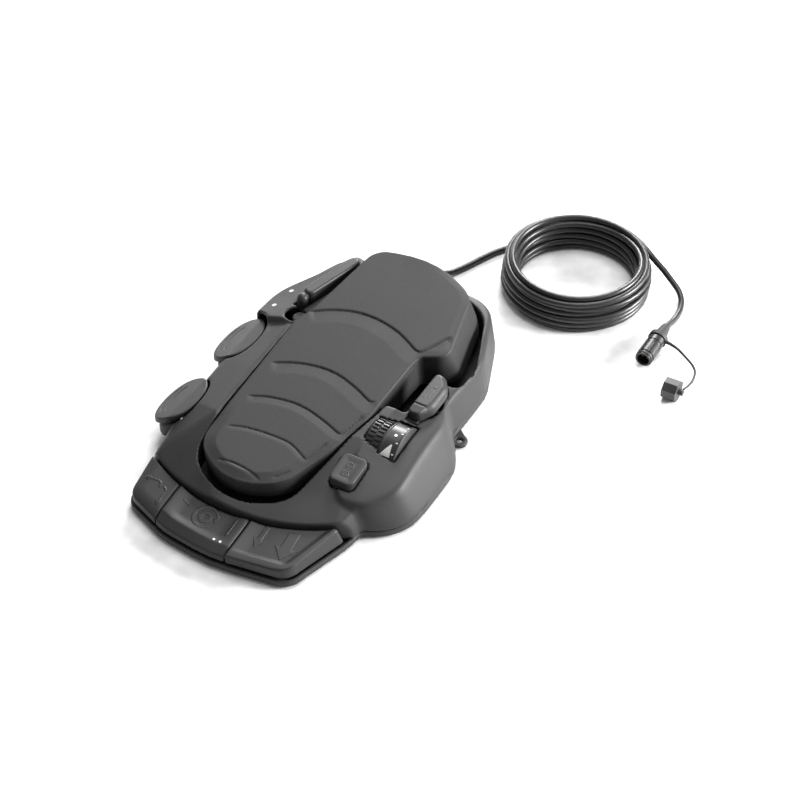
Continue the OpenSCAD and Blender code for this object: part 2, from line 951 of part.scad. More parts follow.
module speed_wheel() {
    color("gray")
        translate([0, wheel_y, wheel_z])
            rotate([0, 90, 0])
                difference() {
                    union() {
                        translate([0, 0, grip_x])
                            cylinder(r = grip_r, h = drum_x - grip_x + 1, $fn = 96);
                        translate([0, 0, drum_x])
                            cylinder(r = drum_r, h = wheel_end - drum_x, $fn = 96);
                        for (k = [0:rib_count - 1])
                            rotate([0, 0, 360 * k / rib_count])
                                translate([grip_r - 0.5, -0.6, grip_x + 0.6])
                                    cube([1.2, 1.2, drum_x - grip_x - 1.2]);
                        translate([0, 0, 53.3])
                            cylinder(r = stub_r, h = grip_x - 53);
                        translate([0, 0, wheel_end - 1])
                            cylinder(r = stub_r, h = 8);
                    }
                    translate([0, 0, drum_x + 3])
                        difference() {
                            cylinder(r = drum_r - 3, h = 20);
                            cylinder(r = 6, h = 20);
                        }
                }
}

module potentiometer() {
    color("silver")
        translate([wheel_end + 3.5, wheel_y, wheel_z])
            rotate([0, 90, 0])
                difference() {
                    union() {
                        cylinder(r = 8.5, h = 8);
                        translate([6, -4, 2])
                            cube([7, 8, 1.5]);
                    }
                    translate([0, 0, -1])
                        cylinder(r = stub_r + pin_play, h = 6.4);
                }
}

module front_board() {
    color("darkgreen")
        intersection() {
            prism(inset(foot_corners, 13), front_board_z, front_board_z + board_t);
            in_front_of_arc(arc_r + 3);
        }
}

module left_board() {
    color("darkgreen")
        translate([-93.5, -56.8, left_board_z])
            difference() {
                cube([27, 111, board_t]);
                translate([3.5, 48.8, -1])
                    cylinder(r = 6.5, h = 6);
            }
}

module right_board() {
    color("darkgreen")
        translate([50, -78, right_board_z])
            cube([40, 32, board_t]);
}

module rocker_board() {
    color("darkgreen")
        translate([74, 9.5, rocker_board_z])
            cube([16, 29, board_t]);
}

module bar_board() {
    color("darkgreen")
        at_bar()
            translate([-16, 22, bar_board_z])
                cube([16.5, 36, board_t]);
}

module well_board() {
    color("darkgreen")
        translate([-40, -70, well_board_z])
            difference() {
                cube([70, 190, board_t]);
                translate([12, 20, -1])
                    cube([46, 150, 4]);
            }
}

module wiring_harness() {
    color("black")
        tube(smooth(harness_route, 3), 1.6, 8);
}

module cable_clamp() {
    color("dimgray")
        translate([gland_at[0] - 9, 153, 3.8])
            difference() {
                cube([18, 7, 11]);
                translate([9, -1, gland_at[1] - 3.8])
                    rotate([-90, 0, 0])
                        cylinder(d = cable_d, h = 12);
            }
}

module cable_gland() {
    flange = 5;
    color("black")
        translate([gland_at[0], gland_y, gland_at[1]])
            rotate([-90, 0, 0])
                difference() {
                    union() {
                        translate([0, 0, -8])
                            cylinder(r = gland_bore_r, h = 8.5);
                        translate([0, 0, 0.1])
                            cylinder(r = 7.4, h = flange);
                        translate([0, 0, flange])
                            cylinder(r1 = 6, r2 = 3.6, h = relief_end - gland_y - flange);
                    }
                    translate([0, 0, -10])
                        cylinder(d = cable_d, h = 50);
                }
}

module gland_nut() {
    color("black")
        translate([gland_at[0], gland_y - 7.2, gland_at[1]])
            rotate([-90, 0, 0])
                difference() {
                    cylinder(r = 7.2, h = 4, $fn = 6);
                    translate([0, 0, -1])
                        cylinder(r = gland_bore_r, h = 6);
                }
}

module cable_lead() {
    color("black")
        tube(smooth(lead_route, 2), cable_d / 2, 10);
}

module cable_coil() {
    color("black")
        translate([coil_at[0], coil_at[1], 0])
            rotate_extrude($fn = 96)
                polygon([
                    [coil_in, 4], [coil_in + 2, 0], [coil_out - 6.5, 0], [coil_out, 7],
                    [coil_out, 20], [coil_out - 4, 30], [coil_out - 9, coil_h],
                    [coil_in + 2, coil_h], [coil_in, coil_h - 4]
                ]);
}

module cable_tail() {
    color("black")
        tube(smooth(tail_route, 2), cable_d / 2, 10);
}

module connector_boot() {
    color("black")
        at_plug()
            difference() {
                union() {
                    cylinder(r1 = 3.4, r2 = 5.4, h = 12);
                    translate([0, 0, 12])
                        cylinder(r = 6, h = 7);
                }
                translate([0, 0, -1])
                    cylinder(d = cable_d, h = 9);
            }
}

module connector_shell() {
    color("black")
        at_plug()
            translate([0, 0, 19])
                difference() {
                    union() {
                        cylinder(r = shell_r, h = 27);
                        cylinder(r = shell_r + 0.4, h = 6);
                    }
                    translate([0, 0, 7])
                        cylinder(r = mouth_r, h = 30);
                }
}

module coupling_ring() {
    groove_r = 0.7;
    color("dimgray")
        at_plug()
            translate([0, 0, 27])
                difference() {
                    cylinder(r = coupling_r, h = 14);
                    for (k = [0:11])
                        rotate([0, 0, 30 * k + 15])
                            translate([coupling_r + 0.4, 0, 2])
                                cylinder(r = groove_r, h = 14);
                    translate([0, 0, -1])
                        cylinder(r = shell_r + pin_play, h = 16);
                }
}

module contact_insert() {
    color("black")
        at_plug()
            translate([0, 0, 26])
                cylinder(r = mouth_r, h = 8);
}

module contact_pins() {
    color("gold")
        at_plug()
            for (k = [0:4])
                rotate([0, 0, 72 * k])
                    translate([2.9, 0, 34])
                        cylinder(r = 0.6, h = 6.5);
}

module sealing_ring() {
    color("black")
        at_plug()
            translate([0, 0, 43])
                rotate_extrude()
                    translate([shell_r, 0])
                        square([0.5, 1.6]);
}

module tether_ring() {
    color("black")
        at_plug()
            translate([0, 0, 14.8])
                difference() {
                    cylinder(r = ring_r, h = 4);
                    translate([0, 0, -1])
                        cylinder(r = 6, h = 6);
                }
}

module cap_tether() {
    color("black")
        tube(smooth(tether_route, 3), 1.2, 8);
}

module dust_cap() {
    color("dimgray")
        translate(cap_at)
            rotate([0, 90, 0])
                difference() {
                    union() {
                        rotate([0, 0, 22.5])
                            cylinder(r = cap_r, h = cap_len, $fn = 8);
                        translate([0, 0, cap_len])
                            cylinder(r = 2.6, h = 4);
                    }
                    translate([0, 0, -1])
                        cylinder(r = shell_r + 0.2, h = 10.6);
                }
}

base_tray();
rubber_feet();
top_housing();
housing_screws();
foot_pedal();
pedal_axle();
axle_bushings();
axle_clips();
front_pedal_spring();
rear_pedal_spring();
travel_stops();
pedal_magnets();
left_front_button();
centre_front_button();
right_front_button();
left_front_dome();
centre_front_dome();
right_front_dome();
front_side_button();
rear_side_button();
front_side_dome();
rear_side_dome();
square_button();
square_dome();
momentary_bar();
momentary_pin();
momentary_dome();
mode_rocker();
rocker_pin();
rocker_dome();
speed_wheel();
potentiometer();
front_board();
left_board();
right_board();
rocker_board();
bar_board();
well_board();
wiring_harness();
cable_clamp();
cable_gland();
gland_nut();
cable_lead();
cable_coil();
cable_tail();
connector_boot();
connector_shell();
coupling_ring();
contact_insert();
contact_pins();
sealing_ring();
tether_ring();
cap_tether();
dust_cap();
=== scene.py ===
"""Corded foot-control pedal of an electric trolling motor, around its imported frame.
"""
import json
import math
from functools import partial

import bmesh
import bpy
import numpy as np
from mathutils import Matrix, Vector


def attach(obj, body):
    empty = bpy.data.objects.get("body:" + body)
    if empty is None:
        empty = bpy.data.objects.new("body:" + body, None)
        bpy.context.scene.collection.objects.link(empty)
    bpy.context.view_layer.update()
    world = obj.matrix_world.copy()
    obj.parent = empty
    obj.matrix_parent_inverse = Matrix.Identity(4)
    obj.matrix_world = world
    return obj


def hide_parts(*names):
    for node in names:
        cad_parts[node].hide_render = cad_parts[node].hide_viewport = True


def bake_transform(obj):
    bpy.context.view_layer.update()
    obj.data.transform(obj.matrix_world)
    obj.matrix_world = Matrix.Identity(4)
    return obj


MM = 0.001

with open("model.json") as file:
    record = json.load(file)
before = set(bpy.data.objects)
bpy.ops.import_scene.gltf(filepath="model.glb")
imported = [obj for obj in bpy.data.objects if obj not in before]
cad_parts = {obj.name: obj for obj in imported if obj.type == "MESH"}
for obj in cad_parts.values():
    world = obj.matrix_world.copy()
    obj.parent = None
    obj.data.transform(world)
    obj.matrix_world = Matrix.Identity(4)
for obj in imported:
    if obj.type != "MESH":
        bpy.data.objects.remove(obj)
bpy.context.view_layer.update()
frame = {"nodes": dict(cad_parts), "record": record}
NODES = frame["nodes"]
SLOT_OF = {row["node"]: row["material_slot"] for row in frame["record"]["subparts"]}


# ---------------------------------------------------------------- camera

def make_camera():
    azimuth, elevation = math.radians(29.0), math.radians(43.0)
    half_view = math.radians(10.0)
    distance = 1.8148
    target = Vector((0.036, 0.060, 0.0))
    back = Vector((
        math.sin(azimuth) * math.cos(elevation),
        -math.cos(azimuth) * math.cos(elevation),
        math.sin(elevation),
    ))
    data = bpy.data.cameras.new("camera")
    data.sensor_width = 36.0
    data.lens = data.sensor_width / 2 / math.tan(half_view)
    data.clip_end = 20.0
    camera = bpy.data.objects.new("camera", data)
    camera.location = target + back * distance
    camera.rotation_euler = back.to_track_quat("Z", "Y").to_euler()
    bpy.context.collection.objects.link(camera)
    bpy.context.scene.camera = camera


make_camera()


# ---------------------------------------------------------------- materials

def add(tree, kind, **inputs):
    """New shader node with values on its inputs; _ in an input's name stands for a space."""
    node = tree.nodes.new(kind)
    for name, value in inputs.items():
        node.inputs[name.replace("_", " ")].default_value = value
    return node


def add_noise(tree, place, scale, detail):
    node = add(tree, "ShaderNodeTexNoise", Scale=scale, Detail=detail)
    tree.links.new(place, node.inputs["Vector"])
    return node.outputs["Fac"]


def add_range(tree, value, low, high, to_low, to_high):
    node = add(tree, "ShaderNodeMapRange", From_Min=low, From_Max=high, To_Min=to_low,
               To_Max=to_high)
    tree.links.new(value, node.inputs["Value"])
    return node.outputs["Result"]


def add_shade(tree, value, low, high, low_at=0.0, high_at=1.0):
    """Colour between two colours, by a value."""
    node = add(tree, "ShaderNodeValToRGB")
    for stop, at, colour in zip(node.color_ramp.elements, (low_at, high_at), (low, high)):
        stop.position = at
        stop.color = (*colour, 1.0)
    tree.links.new(value, node.inputs["Fac"])
    return node.outputs["Color"]


def add_surface(tree, shader, colour, roughness, height, strength, depth):
    """Links colour, roughness and a bump of the given depth in metres to the shader."""
    tree.links.new(colour, shader.inputs["Base Color"])
    tree.links.new(roughness, shader.inputs["Roughness"])
    bump = add(tree, "ShaderNodeBump", Strength=strength, Distance=depth)
    tree.links.new(height, bump.inputs["Height"])
    tree.links.new(bump.outputs["Normal"], shader.inputs["Normal"])


def plastic(name, colour, rough, grain=0.35, grain_size=0.5, spec=0.5, wear=0.25, tint=0.12):
    """Moulded plastic: spark-eroded grain, a little cloudiness and paler worn edges."""
    mat = bpy.data.materials.new(name)
    mat.use_nodes = True
    tree = mat.node_tree
    tree.nodes.clear()
    out = add(tree, "ShaderNodeOutputMaterial")
    shader = add(tree, "ShaderNodeBsdfPrincipled", Specular_IOR_Level=spec)
    tree.links.new(shader.outputs["BSDF"], out.inputs["Surface"])
    place = add(tree, "ShaderNodeTexCoord").outputs["Object"]
    cloud = add_noise(tree, place, 22.0, 4.0)
    fine = add_noise(tree, place, 1000.0 / grain_size, 2.0)
    low = [c * (1.0 - tint) for c in colour]
    high = [min(1.0, c * (1.0 + tint)) for c in colour]
    shade = add_shade(tree, cloud, low, high, 0.3, 0.7)
    # Speckle of the grain in the colour, and pale rubbed edges
    speckle = tree.nodes.new("ShaderNodeMix")
    speckle.data_type = "RGBA"
    speckle.blend_type = "MULTIPLY"
    speckle.inputs["Factor"].default_value = 0.6
    tree.links.new(shade, speckle.inputs["A"])
    tree.links.new(add_range(tree, fine, 0.3, 0.7, 0.82, 1.18), speckle.inputs["B"])
    shape = add(tree, "ShaderNodeNewGeometry")
    edge = add_range(tree, shape.outputs["Pointiness"], 0.52, 0.62, 0.0, wear)
    worn = tree.nodes.new("ShaderNodeMix")
    worn.data_type = "RGBA"
    tree.links.new(edge, worn.inputs["Factor"])
    tree.links.new(speckle.outputs["Result"], worn.inputs["A"])
    worn.inputs["B"].default_value = (*[min(1.0, c * 2.2 + 0.01) for c in colour], 1.0)
    gloss = add_range(tree, cloud, 0.25, 0.75, rough - 0.07, min(1.0, rough + 0.07))
    add_surface(tree, shader, worn.outputs["Result"], gloss, fine, grain, 0.0001)
    return mat


def metal(name, colour, rough, brushed=900.0):
    """Turned or drawn metal with fine lines and slight colour change."""
    mat = bpy.data.materials.new(name)
    mat.use_nodes = True
    tree = mat.node_tree
    shader = tree.nodes["Principled BSDF"]
    shader.inputs["Metallic"].default_value = 1.0
    place = add(tree, "ShaderNodeTexCoord").outputs["Object"]
    lines = add_noise(tree, place, brushed, 3.0)
    shade = add_shade(tree, lines, [c * 0.8 for c in colour], colour)
    gloss = add_range(tree, lines, 0.0, 1.0, rough - 0.08, rough + 0.1)
    add_surface(tree, shader, shade, gloss, lines, 0.15, 0.00005)
    return mat


def grey(v):
    return (v, v, v * 1.02)


MATERIALS = {
    "casing_plastic": plastic("casing_plastic", grey(0.030), 0.50, 0.5, 0.5, spec=0.26),
    "pedal_plastic": plastic("pedal_plastic", grey(0.028), 0.60, 0.9, 0.7, spec=0.24),
    "button_plastic": plastic("button_plastic", grey(0.027), 0.46, 0.35, 0.45, spec=0.30),
    "wheel_plastic": plastic("wheel_plastic", grey(0.034), 0.36, 0.1, 0.4, spec=0.35, wear=0.5),
    "black_rubber": plastic("black_rubber", grey(0.016), 0.62, 0.6, 0.5),
    "dome_rubber": plastic("dome_rubber", (0.09, 0.10, 0.10), 0.6, 0.4, 0.4),
    "cable_jacket": plastic("cable_jacket", grey(0.016), 0.36, 0.2, 0.6, wear=0.0),
    "connector_plastic": plastic("connector_plastic", grey(0.014), 0.34, 0.2, 0.4),
    "cap_plastic": plastic("cap_plastic", grey(0.034), 0.5, 0.5, 0.5),
    "bushing_plastic": plastic("bushing_plastic", (0.62, 0.58, 0.48), 0.45, 0.2, 0.4),
    "stainless_steel": metal("stainless_steel", (0.62, 0.61, 0.59), 0.3),
    "spring_steel": metal("spring_steel", (0.46, 0.46, 0.47), 0.34),
    "magnet_nickel": metal("magnet_nickel", (0.66, 0.62, 0.55), 0.22),
    "board_green": plastic("board_green", (0.01, 0.09, 0.03), 0.35, 0.3, 0.8),
    "contact_gold": metal("contact_gold", (0.85, 0.6, 0.24), 0.25),
}
ICON = plastic("icon_ink", grey(0.007), 0.40, 0.1, 0.4, wear=0.0)
# White for the drum's printed marks, and for white spots painted on as highlights: painted glints
# on the deck and the centre button, and a painted highlight on the drum.
WHITE = plastic("white_print_and_painted_glint", (0.75, 0.75, 0.74), 0.4, 0.1, 0.4, wear=0.0)

for node, obj in NODES.items():
    for slot in obj.material_slots:
        slot.material = MATERIALS[SLOT_OF[node]]


# ---------------------------------------------------------------- mesh tools

def link_new(name, data):
    obj = bpy.data.objects.new(name, data)
    bpy.context.collection.objects.link(obj)
    return obj


def fit(obj, body, slot, *nodes):
    """Rides a piece on a body, in place of the named nodes; the material slot is not used."""
    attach(obj, body)
    if nodes:
        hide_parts(*nodes)


def link_mesh(name, verts, faces, material, smooth=True):
    mesh = bpy.data.meshes.new(name)
    mesh.from_pydata(verts, [], faces)
    mesh.materials.append(material)
    if smooth:
        mesh.shade_smooth()
    mesh.update()
    return link_new(name, mesh)


def rounded(corners, step=10.0):
    """Points of a closed outline, from corners [x, y, radius] given counter-clockwise."""
    pts = np.array([c[:2] for c in corners], float)
    points = []
    for i, (_, _, radius) in enumerate(corners):
        before = pts[i] - pts[i - 1]
        after = pts[(i + 1) % len(pts)] - pts[i]
        a, b = before / np.linalg.norm(before), after / np.linalg.norm(after)
        angle = math.acos(min(1.0, float(a @ b)))
        side = 1.0 if a[0] * b[1] - a[1] * b[0] > 0 else -1.0
        start = pts[i] - a * radius * math.tan(angle / 2)
        spoke = -side * radius * np.array([-a[1], a[0]])
        count = max(1, math.ceil(math.degrees(angle) / step))
        for k in range(count + 1):
            t = side * angle * k / count
            c, s = math.cos(t), math.sin(t)
            swung = [spoke[0] * c - spoke[1] * s, spoke[0] * s + spoke[1] * c]
            points.append(start - spoke + swung)
    return np.array(points)


def outline(points):
    """Signed distance to a closed outline, negative inside, as a function of x and y."""
    def distance(x, y):
        shape = np.broadcast(x, y).shape
        nearest = np.full(shape, 1e12, np.float32)
        inside = np.zeros(shape, bool)
        for (ax, ay), (bx, by) in zip(points, np.roll(points, -1, axis=0)):
            ex, ey = bx - ax, by - ay
            length2 = ex * ex + ey * ey
            if length2 < 1e-9:
                continue
            wx, wy = x - ax, y - ay
            t = np.clip((wx * ex + wy * ey) / length2, 0.0, 1.0)
            nearest = np.minimum(nearest, (wx - ex * t) ** 2 + (wy - ey * t) ** 2)
            if ay != by:
                inside ^= ((ay > y) != (by > y)) & (x < ex * (y - ay) / (by - ay) + ax)
        return np.where(inside, -1.0, 1.0) * np.sqrt(nearest)
    return distance


def both(a, b, r=0.0):
    """Intersection of two fields, with a rounded edge of radius r."""
    if np.isscalar(r) and r == 0.0:
        return np.maximum(a, b)
    u, v = np.maximum(a + r, 0.0), np.maximum(b + r, 0.0)
    return np.minimum(np.maximum(a, b), -r) + np.hypot(u, v)


def either(a, b, r=0.0):
    """Union of two fields, with a hollow fillet of radius r between them."""
    return -both(-a, -b, r)


def less(solid, *cuts):
    """A field with sharp-edged cuts taken away."""
    for cut in cuts:
        solid = np.maximum(solid, -cut)
    return solid


def ramp(v, low, high):
    """Smooth step from 0 at low to 1 at high."""
    t = np.clip((v - low) / (high - low), 0.0, 1.0)
    return t * t * (3.0 - 2.0 * t)


def ball(x, y, z, at, r):
    return np.sqrt((x - at[0]) ** 2 + (y - at[1]) ** 2 + (z - at[2]) ** 2) - r


def post(x, y, z, at, r, low, high):
    return both(np.hypot(x - at[0], y - at[1]) - r, both(low - z, z - high))


def block(x, y, z, low, high):
    out = np.maximum(low[0] - x, x - high[0])
    out = np.maximum(out, np.maximum(low[1] - y, y - high[1]))
    return np.maximum(out, np.maximum(low[2] - z, z - high[2]))


def hull_planes(points):
    """Planes of the convex hull of a set of points, the nearly equal ones merged."""
    bm = bmesh.new()
    for p in points:
        bm.verts.new(p)
    bmesh.ops.convex_hull(bm, input=bm.verts, use_existing_faces=False)
    bm.normal_update()
    middle = np.mean(points, axis=0)
    found = []
    for face in sorted(bm.faces, key=lambda f: -f.calc_area()):
        n = np.array(face.normal)
        if np.linalg.norm(n) < 0.5:
            continue
        d = float(n @ np.array(face.verts[0].co))
        if n @ middle > d:
            n, d = -n, -d
        if all(n @ m < 0.9995 or abs(d - e) > 0.25 for m, e in found):
            found.append((n, d))
    bm.free()
    return found


def over_plane(n, d, x, y, z):
    return (np.float32(n[0]) * x + np.float32(n[1]) * y - np.float32(d)) + np.float32(n[2]) * z


def under_planes(planes, x, y, z):
    out = None
    for n, d in planes:
        g = over_plane(n, d, x, y, z)
        out = g if out is None else np.maximum(out, g)
    return out


def sweep_field(name, field, low, high, step, material, place=None):
    """Closed mesh around field < 0: one vertex in each cell that the surface crosses."""
    axes = [
        np.arange(low[i] - step, high[i] + 1.6 * step, step, dtype=np.float32) for i in range(3)
    ]
    x, y, z = axes[0][:, None, None], axes[1][None, :, None], axes[2][None, None, :]
    full = (len(axes[0]), len(axes[1]), len(axes[2]))
    v = np.array(np.broadcast_to(field(x, y, z), full), dtype=np.float32)
    v[np.abs(v) < 1e-5] = 1e-5
    for side in (0, -1):
        v[side] = np.maximum(v[side], 0.01)
        v[:, side] = np.maximum(v[:, side], 0.01)
        v[:, :, side] = np.maximum(v[:, :, side], 0.01)
    inside = v < 0
    shift = [(i, j, k) for i in (0, 1) for j in (0, 1) for k in (0, 1)]
    cut = tuple(n - 1 for n in full)

    def corner(array, s):
        return array[s[0]:s[0] + cut[0], s[1]:s[1] + cut[1], s[2]:s[2] + cut[2]]

    count = sum(corner(inside, s).astype(np.int8) for s in shift)
    active = (count > 0) & (count < 8)
    where = np.argwhere(active)
    index = np.full(cut, -1, np.int64)
    index[active] = np.arange(len(where))
    values = np.stack([corner(v, s)[active] for s in shift], axis=1)
    total = np.zeros((len(where), 3))
    hits = np.zeros(len(where))
    for a in range(8):
        for b in range(a + 1, 8):
            if sum(p != q for p, q in zip(shift[a], shift[b])) != 1:
                continue
            va, vb = values[:, a], values[:, b]
            cross = (va < 0) != (vb < 0)
            t = np.where(cross, va / np.where(cross, va - vb, 1.0), 0.0)
            pa, pb = np.array(shift[a], float), np.array(shift[b], float)
            total += np.where(cross[:, None], pa + t[:, None] * (pb - pa), 0.0)
            hits += cross
    verts = (where + total / hits[:, None]) * step + [axes[i][0] for i in range(3)]
    faces = []
    for axis in range(3):
        u, w = (axis + 1) % 3, (axis + 2) % 3
        first = [slice(None)] * 3
        second = [slice(None)] * 3
        first[axis], second[axis] = slice(0, -1), slice(1, None)
        a, b = inside[tuple(first)], inside[tuple(second)]
        for flip, change in ((False, a & ~b), (True, ~a & b)):
            at = np.argwhere(change)
            ring = []
            for du, dw in ((1, 1), (0, 1), (0, 0), (1, 0)):
                cell = at.copy()
                cell[:, u] -= du
                cell[:, w] -= dw
                ring.append(index[cell[:, 0], cell[:, 1], cell[:, 2]])
            quad = np.stack(ring, axis=1)
            faces.append(quad[:, ::-1] if flip else quad)
    faces = np.concatenate(faces)
    faces = faces[(faces >= 0).all(axis=1)]
    verts *= MM
    if place is not None:
        verts = place(verts)
    mesh = bpy.data.meshes.new(name)
    mesh.vertices.add(len(verts))
    mesh.vertices.foreach_set("co", verts.astype(np.float32).ravel())
    mesh.loops.add(faces.size)
    mesh.loops.foreach_set("vertex_index", faces.astype(np.int32).ravel())
    mesh.polygons.add(len(faces))
    mesh.polygons.foreach_set("loop_start", np.arange(0, faces.size, 4, dtype=np.int32))
    mesh.polygons.foreach_set("loop_total", np.full(len(faces), 4, np.int32))
    mesh.update(calc_edges=True)
    mesh.validate()
    mesh.shade_smooth()
    mesh.materials.append(material)
    return link_new(name, mesh)


# ---------------------------------------------------------------- cords

CABLE_D = 5.2
LEAD = [
    (-8, 185, 11), (-8, 191, 11), (-8, 197, 11), (-7, 204, 8.6), (-5, 210, 5.6), (-1, 217, 3.4),
    (4, 227, 2.7), (9, 238, 2.7), (14, 250, 2.7), (20, 262, 2.7), (28, 273, 2.7), (37, 283, 2.8),
]
TAIL = [
    (152, 297, 18), (161, 294, 14), (170, 290, 9.5), (178, 286, 6), (184, 279, 3.6),
    (187.5, 270, 2.7), (189, 260, 2.7), (189, 250, 3.4), (189, 243, 5.8), (189, 236, 8.1),
    (189, 231, 8.1),
]
TETHER = [
    (196.6, 219, 8), (202, 218.3, 7.4), (207, 217, 7), (212, 214.6, 6.4), (217.6, 211.5, 5.8),
    (226, 206, 5), (231, 199.5, 4.8), (233.2, 190, 5), (233.4, 181.5, 6.4), (232.4, 173, 8.2),
]
COIL_AT = (97.0, 256.0)
COIL_START, COIL_END = math.radians(146.3), math.radians(43.7)
COIL_TURNS = 14
WANDER = 0.35
FLOOR_CLEAR = 2.6
# Radius and height of each turn of the coil, from the lead to the tail
TURNS = [
    (60.4, 3.0), (57.6, 2.8), (52.2, 2.7), (51.5, 8.2), (56.6, 7.8), (61.7, 8.1), (61.8, 13.6),
    (56.5, 13.0), (51.6, 13.6), (52.2, 19.4), (57.4, 18.2), (61.3, 19.2), (58.4, 24.0),
    (53.2, 24.6), (55.0, 30.4), (59.6, 27.6), (63.0, 23.6),
]
TURN_POINTS = 40


def catmull(points, parts):
    pts = np.array(points, float)
    pad = np.vstack([2 * pts[0] - pts[1], pts, 2 * pts[-1] - pts[-2]])
    out = []
    for i in range(1, len(pad) - 2):
        a, b, c, d = pad[i - 1:i + 3]
        for k in range(parts):
            t = k / parts
            out.append(0.5 * (2 * b + (c - a) * t + (2 * a - 5 * b + 4 * c - d) * t * t
                              + (3 * b - a - 3 * c + d) * t ** 3))
    out.append(pts[-1])
    return np.array(out)


def coil_points():
    """Clockwise turns, laid in the listed layers: each has its own slight wander."""
    angles = COIL_START - COIL_END + 2 * math.pi * COIL_TURNS
    steps = int(angles / (2 * math.pi) * TURN_POINTS)
    rng = np.random.default_rng(11)
    phases = rng.uniform(0, 2 * math.pi, (len(TURNS), 4))
    points = []
    for k in range(steps + 1):
        turned = angles * k / steps
        place = turned / angles * (len(TURNS) - 1)
        i = min(int(place), len(TURNS) - 2)
        t = ramp(place - i, 0.55, 1.0)
        (r0, z0), (r1, z1) = TURNS[i], TURNS[i + 1]
        w = []
        for j, f in enumerate((1.3, 2.1, 1.7, 2.6)):
            w0, w1 = (math.sin(turned * f + phases[n, j]) for n in (i, i + 1))
            w.append(w0 + (w1 - w0) * t)
        calm = ramp(place, 0.0, 1.2) * ramp(len(TURNS) - 1 - place, 0.0, 1.0)
        r = r0 + (r1 - r0) * t + WANDER * calm * (w[0] + 0.6 * w[1])
        z = z0 + (z1 - z0) * t + WANDER * calm * (w[2] + 0.6 * w[3])
        a = COIL_START - turned
        x, y = COIL_AT[0] + r * math.cos(a), COIL_AT[1] + r * math.sin(a)
        points.append((x, y, max(z, FLOOR_CLEAR)))
    return np.array(points)


def tube_curve(name, points, radius, material, radii=None):
    data = bpy.data.curves.new(name, "CURVE")
    data.dimensions = "3D"
    data.bevel_depth = radius * MM
    data.bevel_resolution = 5
    data.use_fill_caps = True
    spline = data.splines.new("POLY")
    spline.points.add(len(points) - 1)
    for i, p in enumerate(points):
        spline.points[i].co = (p[0] * MM, p[1] * MM, p[2] * MM, 1.0)
        spline.points[i].radius = 1.0 if radii is None else radii[i]
    spline.use_smooth = True
    data.materials.append(material)
    return link_new(name, data)


coil = coil_points()
lead = catmull(LEAD + [tuple(coil[0])], 5)[:-1]
tail = catmull([tuple(coil[-1])] + TAIL, 5)[1:]
route = np.vstack([lead, coil, tail])
for _ in range(3):
    route[1:-1] = 0.5 * route[1:-1] + 0.25 * (route[:-2] + route[2:])
cable = tube_curve("network_cable", route, CABLE_D / 2, MATERIALS["cable_jacket"])
fit(cable, "housing", "cable_jacket", "cable_lead", "cable_coil", "cable_tail")

strap_path = catmull(TETHER, 6)
strap_radii = np.interp(np.linspace(0, 1, len(strap_path)), [0, 0.25, 1], [1.25, 0.95, 0.8])
strap = tube_curve("cap_strap", strap_path, 1.2, MATERIALS["black_rubber"], strap_radii)
fit(strap, "housing", "black_rubber", "cap_tether")


# ---------------------------------------------------------------- casing

FOOT = [
    [-87, -145, 16], [-45, -162.5, 60], [0, -168.5, 120], [64.5, -160, 16], [82, -104, 50],
    [93, -30, 100], [96, 60, 90], [96, 96, 60], [70, 165, 36], [30, 170, 60],
    [-30, 170, 60], [-70, 165, 36], [-96, 96, 60], [-99, 40, 100], [-99, -50, 200],
]
PEDAL = [
    [-55, -92, 28], [-14, -120, 45], [24, -99, 30], [42, -50, 60], [50.5, -8, 50],
    [53.5, 60, 6], [74, 69, 11], [59, 138, 28], [14, 162, 85], [-36, 150, 18],
    [-48.5, 66, 14], [-54, 48, 14],
]
WELL = [
    [-56.5, -97, 30], [-14, -129, 50], [32, -104, 30], [44, -50, 60], [52.3, -8, 40],
    [53.6, 6, 3], [70.5, 7, 5], [70.5, 51, 8], [89, 57, 8], [91, 84, 30], [67, 147, 38],
    [14, 170, 88], [-40, 157, 20], [-51.2, 66, 12], [-56.3, 47, 12],
]
BUMP = [
    [60, -84, 10], [84, -90, 8], [106, -77, 8], [115.5, -60, 20], [116, 10, 20],
    [94, 44, 12], [62, 44, 10],
]
RAISE = [
    [-94.5, 50, 4], [-50, 50, 3], [-39, 138, 10], [-46, 149, 8], [-57, 149, 12],
    [-71, 122, 60], [-93, 88, 50],
]
SQUARE = [[50.5, -78, 5], [71, -79, 5], [71.5, -51, 5], [50, -50.5, 5]]
ROCKER = [[73, 5, 3], [82, 5, 5], [89, 19, 14], [88.5, 42, 12], [81, 53, 4], [73, 52, 4]]
SIDE = np.array([
    (
        -2.0 + 17.0 * math.copysign(abs(math.cos(a)) ** 0.9, math.cos(a)),
        26.9 * math.copysign(abs(math.sin(a)) ** 0.9, math.sin(a)),
    )
    for a in np.linspace(0.0, 2 * math.pi, 72, endpoint=False)
])
BODY_CROWN = [
    [-84, -97, 24, 6], [-20, -119, 26, 8], [70, -97, 25, 6], [-89, -46, 32, 6],
    [-90, 31, 36, 5], [-88, 90, 37, 6], [-70, 138, 37, 16], [-34, 158, 37, 8],
    [34, 158, 37, 8], [66, 142, 37, 16], [86, 92, 37, 6], [86, 31, 38, 5], [84, -46, 34, 6],
    [-56, -58, 44, 4], [-56, 46, 49, 4], [54, -30, 46, 4], [58, 4, 47, 4],
]
BUMP_CROWN = [
    [94, 17, 42, 5], [97, -60, 36, 5], [64, 38, 42, 5], [82, 38, 40, 5], [60, -36, 44, 5],
    [60, 0, 46, 5], [84, -10, 44.5, 5], [60, -84, 34, 5], [84, -82, 31, 5],
]
WALL = 3.0
SPLIT_Z = 7.4
WELL_Z = 11.0
ARC_AT = (-8.0, 22.0)
ARC_R = 149.0
GAP = 0.8
# y and z of the tread's axle, x of its posts and of the bushings in the tread
PIVOT = (15.0, 30.0)
POST_X, BUSH_X = 32, 41.5
AXLE_R = 3.0
